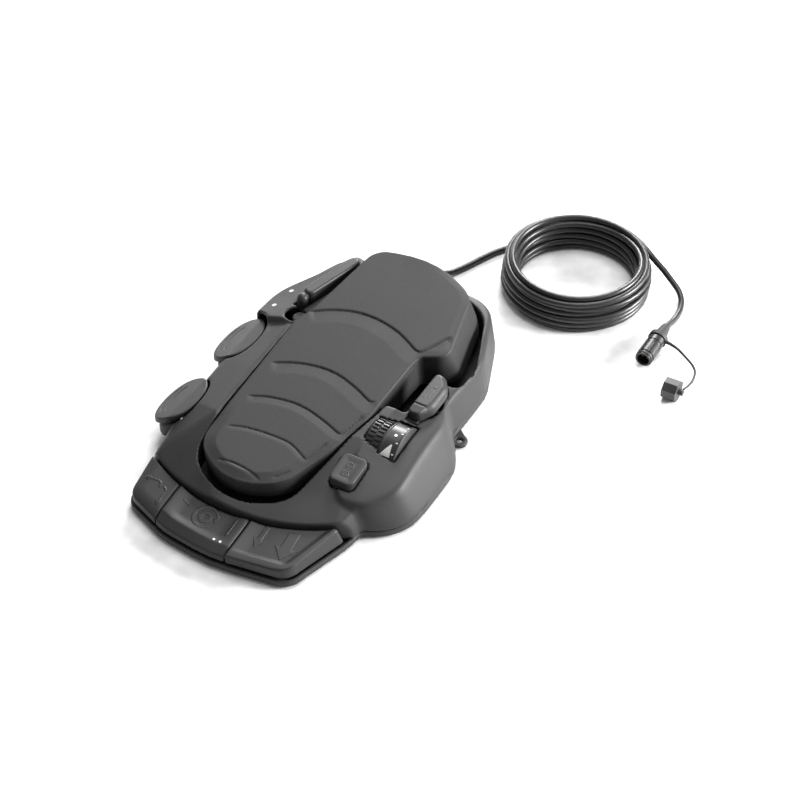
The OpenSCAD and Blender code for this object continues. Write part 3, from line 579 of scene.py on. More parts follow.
# Strain relief in the rear wall
GLAND_X, GLAND_Z = -8.0, 11.0
GLAND_R, GLAND_WALL_Y = 5.2, 162
# Below the tread: magnets, and the return springs with the height of their upper seats
MAGNETS = ((-24, -58), (-12, 92))
SPRING_SEATS = ((-6, -74, 35.0), (12, 112, 51.0))
SPRING_CORE_R = 4.6
# Stems that press the domes, and the hinges of the bar and the rocker
STEM_R = 3.0
HUB_R, PIN_R = 3.2, 1.55
SIDE_RISE = 0.24
SIDE_FALL = 0.57
SIDE_STEM_X = 11.0
SIDE_AT = {"front": (-97.0, -49.0, 31.6), "rear": (-92.0, 29.0, 36.2)}
BAR_AT = (-62.0, 75.5)
BAR_TURN = math.radians(-15.5)
BAR_PIN_Z = 44.5
BAR_LEN = 58.0
BAR_STEM = (-3.5, 42)
ROCKER_PIN = (5.5, 39.0)
ROCKER_STEM = (81, 32)
SQUARE_STEM = (61, -65)
WHEEL_Y, WHEEL_Z = -19.0, 27.5
BASE_LOW = 1.2
EAR_AT, EAR_ROOT = (101.0, 38.0), (84.0, 42.0)
# Posts under the front buttons' board; the first three carry the domes
BOARD_POSTS = ((-70, -134), (-20, -146), (42, -142), (66, -128))
STOPS = [(-34, -70, 33.1), (22, -72, 32.8), (-18, 128, 49.1), (34, 120, 48.9)]
SCREWS = [
    (-86, -84), (80, -84), (104, -52), (102, 8), (56, 159), (-56, 157), (-83, 112),
    (-90, -8), (-64, -106), (52, -104),
]
FEET = [
    (-74, -136), (58, -144), (-84, -60), (96, -34), (-84, 70), (82, 78), (-40, 150), (40, 150),
]
foot_at, pedal_at, well_at = (outline(rounded(c)) for c in (FOOT, PEDAL, WELL))
square_at, rocker_at = outline(rounded(SQUARE)), outline(rounded(ROCKER))
side_at = outline(SIDE)
raise_at, bump_at = outline(rounded(RAISE)), outline(rounded(BUMP))


def crowned(corners, crown, low, high):
    """Planes of a hull over an outline and high points; the steep ones apart."""
    points = [(p[0], p[1], z) for p in rounded(corners, 18.0) for z in (low, high)]
    for cx, cy, cz, r in crown:
        for k in range(8):
            a = math.pi * (k + 0.5) / 4
            points.append((cx + r * math.cos(a), cy + r * math.sin(a), cz))
    planes = hull_planes(points)
    return ([p for p in planes if p[0][2] > 0.5], [p for p in planes if -0.2 < p[0][2] <= 0.5])


BODY_HULL = crowned(FOOT, BODY_CROWN, SPLIT_Z, SPLIT_Z + 1)
BUMP_HULL = crowned(BUMP, BUMP_CROWN, SPLIT_Z, SPLIT_Z + 1)


def soft_planes(planes, x, y, z, soft):
    """Like under_planes, with every crease between two planes rounded."""
    peak = under_planes(planes, x, y, z)
    total = np.zeros(peak.shape, np.float32)
    for n, d in planes:
        g = over_plane(n, d, x, y, z)
        total += np.exp(np.maximum((g - peak) / soft, -8.0))
    return peak + soft * np.log(total) - 0.6 * soft


def bump_field(x, y, z):
    """Housing of the wheel on the right."""
    return np.maximum(soft_planes(BUMP_HULL[0] + BUMP_HULL[1], x, y, z, 1.6), bump_at(x, y))


def gland_bore(x, y, z):
    return np.maximum(np.hypot(x - GLAND_X, z - GLAND_Z) - GLAND_R, GLAND_WALL_Y - y)


def body_field(x, y, z):
    lean = 0.15 + 0.13 * ramp(-x, 60.0, 90.0)
    flank = (foot_at(x, y) + lean * (z - 8.4)) / np.sqrt(1.0 + lean * lean)
    top = under_planes(BODY_HULL[0], x, y, z)
    return both(top, flank, 3.6)


RAISE_Z = 50.3


def raise_fall(x, y):
    """Fall of the raised deck towards the outer side, below its flat inner strip."""
    inward = 0.987 * (x + 63.0) - 0.160 * (y - 62.0)
    return 0.30 * np.minimum(inward + 3.0, 0.0)


def raise_field(x, y, z):
    top = (z - RAISE_Z - raise_fall(x, y)) / 1.044
    flank = (raise_at(x, y) + 0.12 * (z - 42.0)) / 1.007
    return both(top, flank, 1.8)


def bar_frame(x, y):
    c, s = math.cos(-BAR_TURN), math.sin(-BAR_TURN)
    dx, dy = x - BAR_AT[0], y - BAR_AT[1]
    return dx * c - dy * s, dx * s + dy * c


def before_arc(x, y, r):
    """Negative in front of the arc that ends the casing."""
    return np.maximum(y + 93.0, r - np.hypot(x - ARC_AT[0], y - ARC_AT[1]))


def side_height(at, x):
    """Inner half in the slope of the deck, outer half falling away beyond the fold."""
    over = x - at[0] - 3.0
    return at[2] + 1.5 + np.where(over > 0, SIDE_RISE, SIDE_FALL) * over


def side_field(at, x, y, z, drop, thick, grow, r):
    over = x - at[0] - 3.0
    level = z - at[2] - 1.5 + drop
    inner = (level - SIDE_RISE * over) / math.sqrt(1.0 + SIDE_RISE ** 2)
    fold = (level - SIDE_FALL * over) / math.sqrt(1.0 + SIDE_FALL ** 2)
    upper = both(inner, fold, 0.5)
    body = both(upper, side_at(x - at[0], y - at[1]) - grow, r)
    return both(body, side_height(at, x) - drop - thick - z)


def casing(x, y, z):
    outer = either(body_field(x, y, z), bump_field(x, y, z), 4.0)
    outer = either(outer, raise_field(x, y, z), 1.2)
    for at in SIDE_AT.values():
        outer = either(outer, side_field(at, x, y, z, 9.5, 40, -3.0, 1.5), 1.0)
    boss = both(np.hypot(x - GLAND_X, z - GLAND_Z) - 9.0, both(158.0 - y, y - 170.0))
    outer = either(outer, boss, 1.5)
    outer = both(outer, -before_arc(x, y, ARC_R), 1.0)
    well = well_at(x, y)
    hollow = np.maximum(outer + WALL, -np.maximum(well - 2.2, 8.6 - z))
    hollow = np.maximum(hollow, -before_arc(x, y, ARC_R - WALL))
    for sx, sy in SCREWS:
        hollow = np.maximum(hollow, 4.6 - np.hypot(x - sx, y - sy))
    # Bearings of the wheel's shaft, of the rocker's pin and of the bar's
    bx, by = bar_frame(x, y)
    hollow = less(
        hollow,
        block(x, y, z, (52, -28, 0), (55.9, -10, 80)),
        block(x, y, z, (85.9, -30, 0), (88.5, -8, 80)),
        block(x, y, z, (82.9, 3.6, 34), (87.1, 11, 54)),
        block(bx, by, z, (-15, -6, 38.5), (-5.8, 6, 58.5)),
    )
    # Well for the pedal, with its posts and seats left standing
    cut = np.maximum(well, WELL_Z - z)
    axle_far = np.hypot(y - PIVOT[0], z - PIVOT[1])
    for mid in (-POST_X, POST_X):
        cut = less(
            cut, block(x, y, z, (mid - 4, 6, 0), (mid + 4, 24, 30)),
            np.maximum(axle_far - 9, np.abs(x - mid) - 4),
        )
    for sx, sy, sz in STOPS:
        cut = less(cut, np.maximum(np.hypot(x - sx, y - sy) - 7, z - (sz - 4.6)))
    front_seat, rear_seat = SPRING_SEATS
    cut = less(
        cut,
        block(x, y, z, (-20.9, 146.1, 0), (4.9, 176.1, 20.4)),
        post(x, y, z, front_seat, SPRING_CORE_R, 0, 16),
        post(x, y, z, rear_seat, 11, 0, 26),
        post(x, y, z, rear_seat, SPRING_CORE_R, 0, 31),
    )
    solid = less(np.maximum(outer, SPLIT_Z - z), hollow)
    solid = both(solid, -cut, 0.7)
    # Openings for the controls
    drum = np.hypot(y - WHEEL_Y, z - WHEEL_Z)
    window = np.maximum(np.maximum(55.5 - x, x - 86.2), drum - np.where(x < 70.2, 22.6, 24.0))
    solid = both(solid, -np.maximum(window, 33.0 - z), 0.5)
    solid = both(solid, -np.maximum(square_at(x, y) - GAP, 26 - z), 0.5)
    for at in SIDE_AT.values():
        ring = side_at(x - at[0], y - at[1]) - GAP - 0.3 - 0.7 * ramp(x - at[0], 3.0, 9.0)
        seat = side_height(at, x) - 9.4
        solid = less(solid, np.maximum(ring, seat - z))
    slot = block(bx, by, z, (-5.8, -5.8, 42.8), (5.8, BAR_LEN + 5.8, 90))
    slot = np.minimum(slot, block(bx, by, z, (-5.8, -5.6, 40.5), (5.8, 4, 90)))
    slot = np.minimum(slot, block(bx, by, z, (-5.8, 12, 34), (2.7, 56, 90)))
    nook = np.maximum(np.hypot(x + 60.5, y - 61.0) - 8.5, 6.0 - np.hypot(x + 55.2, y - 59.6))
    slot = np.minimum(slot, np.maximum(nook, 36.0 - z))
    solid = both(solid, -slot, 0.5)
    notch = np.maximum(rocker_at(x, y) - GAP, 37.6 - z)
    notch = np.minimum(notch, block(x, y, z, (73, 1.5, 35), (82.9, 9.5, 90)))
    notch = np.minimum(notch, block(x, y, z, (74.6, 14, 30), (85.6, 44, 90)))
    solid = both(solid, -notch, 0.5)
    return less(
        solid,
        np.maximum(axle_far - AXLE_R, np.abs(x) - 48.0),
        block(x, y, z, (-18.5, 148.5, 0), (2.5, 167, 18)),
        gland_bore(x, y, z),
    )


def skirt_plan(x, y):
    """Outline of the casing where it meets the base."""
    z = np.full(np.broadcast(x, y).shape, SPLIT_Z + 0.8)
    return either(either(foot_at(x, y), bump_field(x, y, z), 4.0), raise_at(x, y), 1.2)


def base(x, y, z):
    plan = skirt_plan(x, y)
    body = both(plan, BASE_LOW - z, 0.9)
    # Mounting ears, tapering from the base's rim to a round end
    (tip_x, ay), (root_x, by) = EAR_AT, EAR_ROOT
    for side in (-1, 1):
        ax, bx = side * tip_x, side * root_x
        length2 = (bx - ax) ** 2 + (by - ay) ** 2
        t = np.clip(((x - ax) * (bx - ax) + (y - ay) * (by - ay)) / length2, 0.0, 1.0)
        ear = np.hypot(x - ax - t * (bx - ax), y - ay - t * (by - ay)) - 7.0 - 9.0 * t
        ear = both(both(ear, z - 4.8, 0.5), BASE_LOW - z, 0.5)
        body = np.minimum(body, ear)
    top = np.where(before_arc(x, y, ARC_R) < 0, 6.8, 7.2)
    body = both(body, z - top, 0.3)
    room = np.maximum(plan + WALL, 3.8 - z)
    for sx, sy in SCREWS:
        room = np.maximum(room, 5.0 - np.hypot(x - sx, y - sy))
    room = less(room, *(post(x, y, z, at, 3.0, 0.0, 5.0) for at in BOARD_POSTS))
    body = less(body, room)
    for at in SCREWS:
        # Clearance hole and the seat of the head
        body = less(body, post(x, y, z, at, 1.8, 0.0, 9.0), post(x, y, z, at, 4.0, 0.0, 3.4))
    body = less(body, *(post(x, y, z, at, 8.0, 0.0, 1.8) for at in FEET))
    for side in (-1, 1):
        body = np.maximum(body, 2.75 - np.hypot(x - side * tip_x, y - ay))
    return less(body, gland_bore(x, y, z))


tray = sweep_field(
    "base_shell", base, (-108, -168, BASE_LOW), (116, 170, 7.2), 0.9,
    MATERIALS["casing_plastic"],
)
fit(tray, "housing", "casing_plastic", "base_tray")
shell = sweep_field(
    "casing_shell", casing, (-113.5, -128, SPLIT_Z), (116, 170, 50.5), 1.0,
    MATERIALS["casing_plastic"],
)
fit(shell, "housing", "casing_plastic", "top_housing")


# ---------------------------------------------------------------- foot pedal

TREAD_SLOPE = math.radians(5.1)
TREAD_Z = 49.9
PEDAL_LOW = 23.0
# Front edges of the tread's plates: [points, depth of the step, width of the slope before it]
PLATES = [
    [[(-50, 63), (-46, 66), (-40, 70), (-32, 74.5), (-20, 79), (-8, 81), (8, 80.2), (26, 75.5),
      (40, 68.5), (47.5, 64.5), (51.5, 64.8), (55, 69.5), (60, 79), (66, 91)], 1.0, 14.5],
    [[(-48, 1.5), (-40, 6), (-30, 10.5), (-18, 13.8), (-6, 15.2), (8, 14), (25, 8.5),
      (38, 2.5), (43, 1), (47, 4)], 0.9, 12.0],
    [[(-46, -37), (-38, -33), (-28, -29.5), (-11, -26.8), (4, -28), (22, -33), (34, -37.5),
      (38.5, -38), (40.5, -33), (42, -26), (44.5, -13)], 0.8, 7.5],
    [[(-44, -70.5), (-36, -67), (-26, -64.5), (-8, -63), (7, -63.5), (16, -66.5), (25, -71),
      (28, -70.5), (31, -61), (34.5, -49)], 0.5, 4.0],
    [[(-34, -101.5), (-26, -100), (-14, -99.8), (0, -102), (8, -105)], 0.6, 3.0],
    [[(13, -99.5), (18, -94), (24, -85)], 0.6, 3.0],
]


def plate_depth(points, step, width, x, y):
    """Depth of the tread before one plate's front edge, running out at the edge's ends."""
    pts = catmull([(px, py, 0.0) for px, py in points], 4)[:, :2]
    along = np.concatenate([[0.0], np.cumsum(np.linalg.norm(np.diff(pts, axis=0), axis=1))])
    shape = np.broadcast(x, y).shape
    best = np.full(shape, 1e9)
    side = np.zeros(shape)
    where = np.zeros(shape)
    for i in range(len(pts) - 1):
        (ax, ay), (bx, by) = pts[i], pts[i + 1]
        ex, ey = bx - ax, by - ay
        wx, wy = x - ax, y - ay
        t = np.clip((wx * ex + wy * ey) / (ex * ex + ey * ey), 0.0, 1.0)
        d = np.hypot(wx - ex * t, wy - ey * t)
        closer = d < best
        best = np.where(closer, d, best)
        side = np.where(closer, ex * wy - ey * wx, side)
        where = np.where(closer, along[i] + t * math.hypot(ex, ey), where)
    fade = ramp(where, 0.0, 6.0) * ramp(along[-1] - where, 0.0, 6.0)
    sloped = step * np.clip(1.0 - best / width, 0.0, 1.0) * (side < 0)
    line = 0.6 * np.clip(1.0 - best / 0.9, 0.0, 1.0)
    return fade * (sloped + line)


def tread_depth(x, y):
    return sum(plate_depth(p, step, width, x, y) for p, step, width in PLATES)


def tread_local(y, z):
    """A place in the object's frame, in the tread's own frame."""
    c, s = math.cos(TREAD_SLOPE), math.sin(TREAD_SLOPE)
    return y * c + (z - TREAD_Z) * s, -y * s + (z - TREAD_Z) * c


def tread_place(verts):
    c, s = math.cos(TREAD_SLOPE), math.sin(TREAD_SLOPE)
    out = verts.copy()
    out[:, 1] = verts[:, 1] * c - verts[:, 2] * s
    out[:, 2] = verts[:, 1] * s + verts[:, 2] * c + TREAD_Z * MM
    return out


def pedal(x, y, z):
    edge = pedal_at(x, y)
    front = ramp(-y, 45.0, 80.0)
    rim = 0.24 * np.clip(9.5 + edge, 0.0, 8.0) * front
    rim = rim + 0.10 * np.clip(6.0 + edge, 0.0, 6.0) * ramp(x, 10.0, 40.0) * (1.0 - front)
    top = z + tread_depth(x, y) + rim
    # The heel's right wall leans out towards the floor
    heel = ramp(y, 66.0, 82.0) * ramp(x, 30.0, 58.0)
    middle = ramp(x, 20.0, 45.0) * ramp(y, -20.0, 10.0) * ramp(58.0 - y, 0.0, 10.0)
    lean = 0.25 * heel * np.clip(-z - 2.0, 0.0, 30.0) + 0.22 * middle * np.clip(-z, 0.0, 6.0)
    lean = lean - 1.2 * middle
    edge = edge - lean
    outer = both(edge, top, 1.5 + 0.8 * heel - 0.7 * front)
    solid = less(outer, np.maximum(edge + 3.0, z + 3.5))
    inside = np.maximum(edge + 1.5, z + 2.8)
    # Axle lugs, magnet holders and spring seats under the tread
    py, pz = tread_local(*PIVOT)
    axle_far = np.hypot(y - py, z - pz)
    ribs = np.full(np.broadcast(x, y, z).shape, 1e3)
    for mid in (-BUSH_X, BUSH_X):
        wide = np.abs(x - mid) - 3.5
        ribs = np.minimum(ribs, np.maximum(wide, np.maximum(np.abs(y - py) - 8.0, pz - z)))
        ribs = np.minimum(ribs, np.maximum(wide, axle_far - 8.0))
    seats = [(mx, my, PEDAL_LOW, 6.0) for mx, my in MAGNETS]
    seats += [(*seat, SPRING_CORE_R) for seat in SPRING_SEATS]
    for mx, my, mz, r in seats:
        ly, lz = tread_local(my, mz)
        ribs = np.minimum(ribs, np.maximum(np.hypot(x - mx, y - ly) - r, lz - z))
    solid = np.minimum(solid, np.maximum(ribs, inside))
    for mid in (-BUSH_X, BUSH_X):
        solid = less(solid, np.maximum(axle_far - 5.0, np.abs(x - mid) - 4.5))
    for mx, my in MAGNETS:
        ly, lz = tread_local(my, PEDAL_LOW)
        solid = less(solid, np.maximum(np.hypot(x - mx, y - ly) - 4.0, z - lz - 4.0))
    c, s = math.cos(TREAD_SLOPE), math.sin(TREAD_SLOPE)
    height = y * s + z * c + TREAD_Z
    depth = y * c - z * s
    notch = np.maximum(np.maximum(-23.5 - x, x - 7.5), np.maximum(142.5 - depth, height - 33.0))
    return less(np.maximum(solid, PEDAL_LOW - height), notch)


tread = sweep_field(
    "foot_tread", pedal, (-56, -118, -42), (84, 166, 0), 0.7, MATERIALS["pedal_plastic"],
    tread_place,
)
fit(tread, "pedal", "pedal_plastic", "foot_pedal")


# ---------------------------------------------------------------- front buttons

FRONT_SPLITS = (-53.5, 12.0)
FRONT_DOMES = BOARD_POSTS[:3]
FRONT_LOW = 8.6


def front_edge(x, y):
    """Distance inside the front outline of the casing."""
    return -(foot_at(x, y) + 1.8)


def front_top(kind, x, y):
    """Height of a button's top: a common slope, with each button's own front lip."""
    z = 13.0 + math.tan(math.radians(5.5)) * (y + 200.0)
    d = front_edge(x, y)
    if kind == "left":
        return z - 0.9 - 0.02 * np.clip(11.0 - d, 0.0, None) ** 2
    if kind == "centre":
        middle = ramp(d, 8.0, 17.0) * ramp(x, -52.0, -38.0) * ramp(10.0 - x, 0.0, 14.0)
        return z - 0.33 * np.clip(9.0 - d, 0.0, None) - 1.3 * middle
    return z - 2.0 * ramp(d, 6.0, 10.5) * ramp(x, 10.0, 26.0) - 0.10 * np.clip(4.0 - d, 0.0, None)


def front_field(kind, x0, x1, dome):
    def field(x, y, z):
        corner = 1.5 + 3.5 * ramp(x, 40.0, 70.0)
        inward = (0.6 + 0.26 * (z - FRONT_LOW)) * ramp(x, 45.0, 72.0)
        plan = both(inward - front_edge(x, y), before_arc(x, y, ARC_R + GAP + 0.4), corner)
        sides = both(x0 - x, x - x1)
        plan = both(plan, sides, 1.2)
        top = z - front_top(kind, x, y)
        outer = both(plan, top, 1.6)
        inner = less(np.maximum(plan + 2.6, top + 2.6), post(x, y, z, dome, STEM_R, 10.5, 40.0))
        return np.maximum(less(outer, inner), FRONT_LOW - z)
    return field


FRONT = {
    "left": (-120.0, FRONT_SPLITS[0] - GAP / 2, (-96, -160, FRONT_LOW), (-53.9, -98, 25)),
    "centre": (FRONT_SPLITS[0] + GAP / 2, FRONT_SPLITS[1] - GAP / 2,
               (-53.1, -168, FRONT_LOW), (11.6, -116, 23)),
    "right": (FRONT_SPLITS[1] + GAP / 2, 120.0, (12.4, -168, FRONT_LOW), (84, -98, 25)),
}
for (kind, (x0, x1, low, high)), dome in zip(FRONT.items(), FRONT_DOMES):
    button = sweep_field(
        kind + "_front_cap", front_field(kind, x0, x1, dome), low, high, 0.6,
        MATERIALS["button_plastic"],
    )
    fit(button, kind + "_front_key", "button_plastic", kind + "_front_button")


# ---------------------------------------------------------------- side and top buttons

def side_cap(at):
    def field(x, y, z):
        body = side_field(at, x, y, z, 0.0, 5.0, 0.0, 1.3)
        lx, ly = x - at[0], y - at[1]
        rim = side_at(lx, ly)
        # Shallow arc moulded along the rim of the outer half
        arc = np.abs(np.abs(rim + 7.0) - 2.2) - 0.55
        arc = np.maximum(arc, np.maximum(lx + 2.5, np.abs(ly) - 15.0))
        body = body + 0.45 * ramp(-arc, -0.3, 0.3)
        leg = post(x, y, z, (at[0] + SIDE_STEM_X, at[1]), STEM_R, 24.9, at[2] - 3.5)
        return np.minimum(body, leg)
    return field


for where, at in SIDE_AT.items():
    cap = sweep_field(
        where + "_side_cap", side_cap(at), (at[0] - 19, at[1] - 27, at[2] - 17),
        (at[0] + 15, at[1] + 27, at[2] + 4.6), 0.55, MATERIALS["button_plastic"],
    )
    fit(cap, where + "_side_key", "button_plastic", where + "_side_button")


SQUARE_DISH = 0.35


def square_top(y):
    return 39.6 + math.tan(math.radians(6.5)) * (y + 90.0)


def square_cap(x, y, z):
    plan = square_at(x, y)
    dish = SQUARE_DISH * ramp(-plan, 2.5, 7.0)
    body = np.maximum(both(plan, z - square_top(y) + dish, 1.1), 33.0 - z)
    return np.minimum(body, post(x, y, z, SQUARE_STEM, STEM_R, 27.9, 35.0))


ROCKER_TOP = 52.0


def rocker_cap(x, y, z):
    plan = rocker_at(x, y)
    # Wide chamfer on the outer side, a small radius on the inner one
    outer = 2.6 * ramp(x + 0.12 * (y - 30), 77.0, 84.0) + 0.5
    slope = (plan + (z - ROCKER_TOP) + outer) / math.sqrt(2.0)
    groove = 0.8 * ramp(1.3 - np.abs(y - 14.5), 0.0, 0.9)
    front = 0.12 * np.clip(13.0 - y, 0.0, None)
    body = both(both(plan, z - ROCKER_TOP + groove + front, 1.0), slope, 1.0)
    body = np.maximum(body, 41.6 - z)
    pin_far = np.hypot(y - ROCKER_PIN[0], z - ROCKER_PIN[1])
    hub = np.maximum(pin_far - HUB_R, np.maximum(73.8 - x, x - 82.1))
    body = np.minimum(body, np.minimum(hub, block(x, y, z, (75.5, 5.5, 41.6), (80.5, 11.5, 45.6))))
    body = np.minimum(body, post(x, y, z, ROCKER_STEM, 2.0, 33.9, 43.0))
    return np.maximum(body, PIN_R - pin_far)


def bar_cap(x, y, z):
    """The long bar along y, in its own frame, with the nub at its front end."""
    reach = np.hypot(x, y - np.clip(y, 8.5, BAR_LEN))
    body = both(reach - 5.0, z - 60.0, 2.4)
    body = np.maximum(body, 47.0 - z)
    neck = post(x, y, z, (0, -0.2), 4.4, 46.5, 54.0)
    nub = either(neck, ball(x, y, z, (0, -0.2, 54.8), 4.6), 0.4)
    nub = either(nub, body, 1.4)
    pin_far = np.hypot(y, z - BAR_PIN_Z)
    hub = np.maximum(pin_far - HUB_R, np.abs(x) - 4.6)
    body = np.minimum(body, np.minimum(nub, hub))
    body = np.minimum(body, block(x, y, z, (-2.5, 0, 47), (2.5, 12, 52)))
    body = np.minimum(body, post(x, y, z, BAR_STEM, 1.5, 41.9, 48.0))
    return np.maximum(body, PIN_R - pin_far)


def bar_place(verts):
    c, s = math.cos(BAR_TURN), math.sin(BAR_TURN)
    out = verts.copy()
    out[:, 0] = verts[:, 0] * c - verts[:, 1] * s + BAR_AT[0] * MM
    out[:, 1] = verts[:, 0] * s + verts[:, 1] * c + BAR_AT[1] * MM
    return out


KEYS = [
    ("square_cap", square_cap, (50, -79, 27.9), (71.5, -50.5, 46), 0.5, "square_key",
     "square_button", None),
    ("rocker_cap", rocker_cap, (73, 2, 33.9), (89, 53, 52), 0.5, "rocker_key",
     "mode_rocker", None),
    ("bar_cap", bar_cap, (-5.2, -5, 41.3), (5.2, 63.2, 60), 0.5, "bar_key",
     "momentary_bar", bar_place),
]
for name, field, low, high, step, body, node, place in KEYS:
    cap = sweep_field(name, field, low, high, step, MATERIALS["button_plastic"], place)
    fit(cap, body, "button_plastic", node)


# ---------------------------------------------------------------- speed wheel

GRIP_X = (56.5, 70.0)
DRUM_X = (70.3, 85.0)
SHAFT_X = (53.3, 92.0)
GRIP_R, DRUM_R = 20.7, 22.2
INNER_R = 3.2
MARK_R = 22.25
MARK_STEP = 24.0


def wheel_point(x, r, a):
    """Point in metres, at a distance and an angle from the wheel's shaft."""
    return x * MM, (WHEEL_Y + r * math.sin(a)) * MM, (WHEEL_Z + r * math.cos(a)) * MM


def wheel_skin(name, x0, x1, radius_at, x_parts, turn_parts, material):
    """Closed ring around the wheel's shaft: radius_at(x, angle) outside, a bore inside."""
    verts, faces = [], []
    xs = np.linspace(x0, x1, x_parts)
    for x in xs:
        for k in range(turn_parts):
            a = 2 * math.pi * k / turn_parts
            verts.append(wheel_point(x, radius_at(x, a), a))
    outer = len(verts)
    for x in (x0, x1):
        for k in range(turn_parts):
            a = 2 * math.pi * k / turn_parts
            verts.append(wheel_point(x, INNER_R, a))
    for k in range(turn_parts):
        n = (k + 1) % turn_parts
        for i in range(x_parts - 1):
            a, b = i * turn_parts, (i + 1) * turn_parts
            faces.append((a + k, a + n, b + n, b + k))
        last = (x_parts - 1) * turn_parts
        faces.append((outer + k, outer + n, n, k))
        faces.append((last + k, last + n, outer + turn_parts + n, outer + turn_parts + k))
        faces.append((outer + turn_parts + k, outer + turn_parts + n, outer + n, outer + k))
    obj = link_mesh(name, verts, faces, material)
    obj.data.set_sharp_from_angle(angle=math.radians(40.0))
    return obj


RIB_TURN = 2 * math.pi / 36


def grip_radius(x, a):
    """Two staggered columns of short ribs."""
    column = 0 if x < 62.9 else 1
    phase = (a / RIB_TURN + 0.5 * column) % 1.0
    rib = ramp(0.24 - abs(phase - 0.5), 0.0, 0.07)
    middle = 59.9 if column == 0 else 66.3
    ends = ramp(2.9 - abs(x - middle), 0.0, 0.5)
    return GRIP_R + 1.4 * rib * ends


def drum_radius(x, _):
    """Smooth drum with a raised lip at both ends."""
    side = min(x - DRUM_X[0], DRUM_X[1] - x)
    lip = 0.5 * ramp(1.7 - side, 0.0, 0.4)
    return DRUM_R + lip - 0.8 * ramp(0.5 - side, 0.0, 0.5)


def patch(name, x0, x1, a0, a1, radius, material, taper=0.0):
    """Thin white mark on the drum, between two places along it and two angles: the printed marks,
    and one painted highlight.
    """
    verts, faces = [], []
    parts = 8
    for layer in (radius - 0.1, radius + 0.12):
        for k in range(parts + 1):
            t = k / parts
            a = math.radians(a0 + (a1 - a0) * t)
            for x in (x0 + taper * t, x1 - taper * t * 0.2):
                verts.append(wheel_point(x, layer, a))
    half = 2 * (parts + 1)
    for k in range(parts):
        a, b, c, d = 2 * k, 2 * k + 1, 2 * k + 3, 2 * k + 2
        faces += [(a, b, c, d), (half + d, half + c, half + b, half + a)]
        faces += [(a, d, half + d, half + a), (c, b, half + b, half + c)]
    faces += [(1, 0, half, half + 1), (half - 2, half - 1, 2 * half - 1, 2 * half - 2)]
    return link_mesh(name, verts, faces, material, smooth=False)


def shaft_radius(x, _):
    """Journals at both ends, a little thicker inside the wheel."""
    return 3.0 if x < 56.4 or x > 85.1 else 3.25


wheel_look = MATERIALS["wheel_plastic"]
grip = wheel_skin("wheel_grip", *GRIP_X, grip_radius, 46, 432, wheel_look)
drum = wheel_skin("wheel_drum", *DRUM_X, drum_radius, 40, 180, wheel_look)
shaft = wheel_skin("wheel_shaft", *SHAFT_X, shaft_radius, 60, 32, wheel_look)
marks = [
    patch("drum_mark_%02d" % k, 81.2, 83.0, turn - 1.2, turn + 1.2, MARK_R, WHITE)
    for k, turn in enumerate(np.arange(15) * MARK_STEP)
]
dot = patch("drum_dot", 77.0, 79.2, -11.0, -5.5, MARK_R, WHITE)
# White tapering patch on the drum's lower front: a painted highlight.
wedge = patch("drum_painted_highlight", 71.8, 80.5, -56.0, -30.0, MARK_R, WHITE, 6.5)
for piece in [grip, drum, shaft, dot, wedge] + marks:
    fit(piece, "wheel", "wheel_plastic")
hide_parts("speed_wheel")


# ---------------------------------------------------------------- icons, small trim and painted highlights

def arrow(tail_x, tail_y, tip_x, tip_y, shaft_w, head_w, head_l):
    ux, uy = tip_x - tail_x, tip_y - tail_y
    length = math.hypot(ux, uy)
    ux, uy = ux / length, uy / length
    neck = length - head_l
    profile = [
        (0, -shaft_w), (neck, -shaft_w), (neck, -head_w), (length, 0), (neck, head_w),
        (neck, shaft_w), (0, shaft_w),
    ]
    return np.array([
        (tail_x + ux * a - uy * b, tail_y + uy * a + ux * b) for a, b in profile
    ])


def ring_part(cx, cy, r, half, a0, a1):
    angles = np.radians(np.linspace(a0, a1, 24))
    outer = [(cx + (r + half) * math.cos(a), cy + (r + half) * math.sin(a)) for a in angles]
    inner = [(cx + (r - half) * math.cos(a), cy + (r - half) * math.sin(a)) for a in angles[::-1]]
    return np.array(outer + inner)


def icon(name, shapes, height, body, step=0.4, material=None, proud=0.22):
    """Thin raised sign that follows the button's top; also the white spots of painted highlights.
    """
    fields = [outline(points) for points in shapes]
    every = np.concatenate(shapes)
    low, high = every.min(axis=0), every.max(axis=0)
    gx, gy = np.meshgrid(np.linspace(low[0], high[0], 12), np.linspace(low[1], high[1], 12))
    tops = height(gx, gy)

    def field(x, y, z):
        flat = fields[0](x, y)
        for other in fields[1:]:
            flat = np.minimum(flat, other(x, y))
        level = z - height(x, y)
        return both(both(flat, level - proud, 0.15), -0.45 - level)

    piece = sweep_field(
        name, field, (low[0], low[1], float(tops.min()) - 0.6),
        (high[0], high[1], float(tops.max()) + proud + 0.2), step, material or ICON,
    )
    fit(piece, body, "button_plastic")
    return piece


def front_icon(name, kind, shapes, *look):
    icon(name, shapes, partial(front_top, kind), kind + "_front_key", *look)


front_icon("icon_turn_left", "left", [
    arrow(-71, -125, -83, -126, 1.1, 3.2, 5.0), ring_part(-71, -129, 4.0, 1.1, -20, 92),
])
front_icon("icon_turn_left_low", "left", [
    arrow(-60, -133, -60, -147, 1.1, 3.4, 5.5), ring_part(-64, -133, 4.0, 1.1, 0, 95),
])
front_icon("icon_prop", "centre", [
    ring_part(-20, -139, 9.4, 1.5, 25, 320), ring_part(-20, -139, 4.0, 1.9, 0, 359),
    arrow(-11.2, -132, -10.2, -142.5, 0.9, 3.4, 5.2),
])
front_icon("icon_bars", "centre", [
    np.array([(-44, -131), (-37, -134), (-37, -135.6), (-44, -132.8)]),
    np.array([(2.0, -130), (4.2, -130), (4.2, -148), (2.0, -148)]),
])
# White dots on the centre button: painted highlights standing in for glints.
for k, at_x in enumerate((-2.5, 3.0)):
    spot = ring_part(at_x, -155.0, 0.55, 0.5, 0, 359)
    front_icon("front_glint_%d" % k, "centre", [spot], 0.25, WHITE)
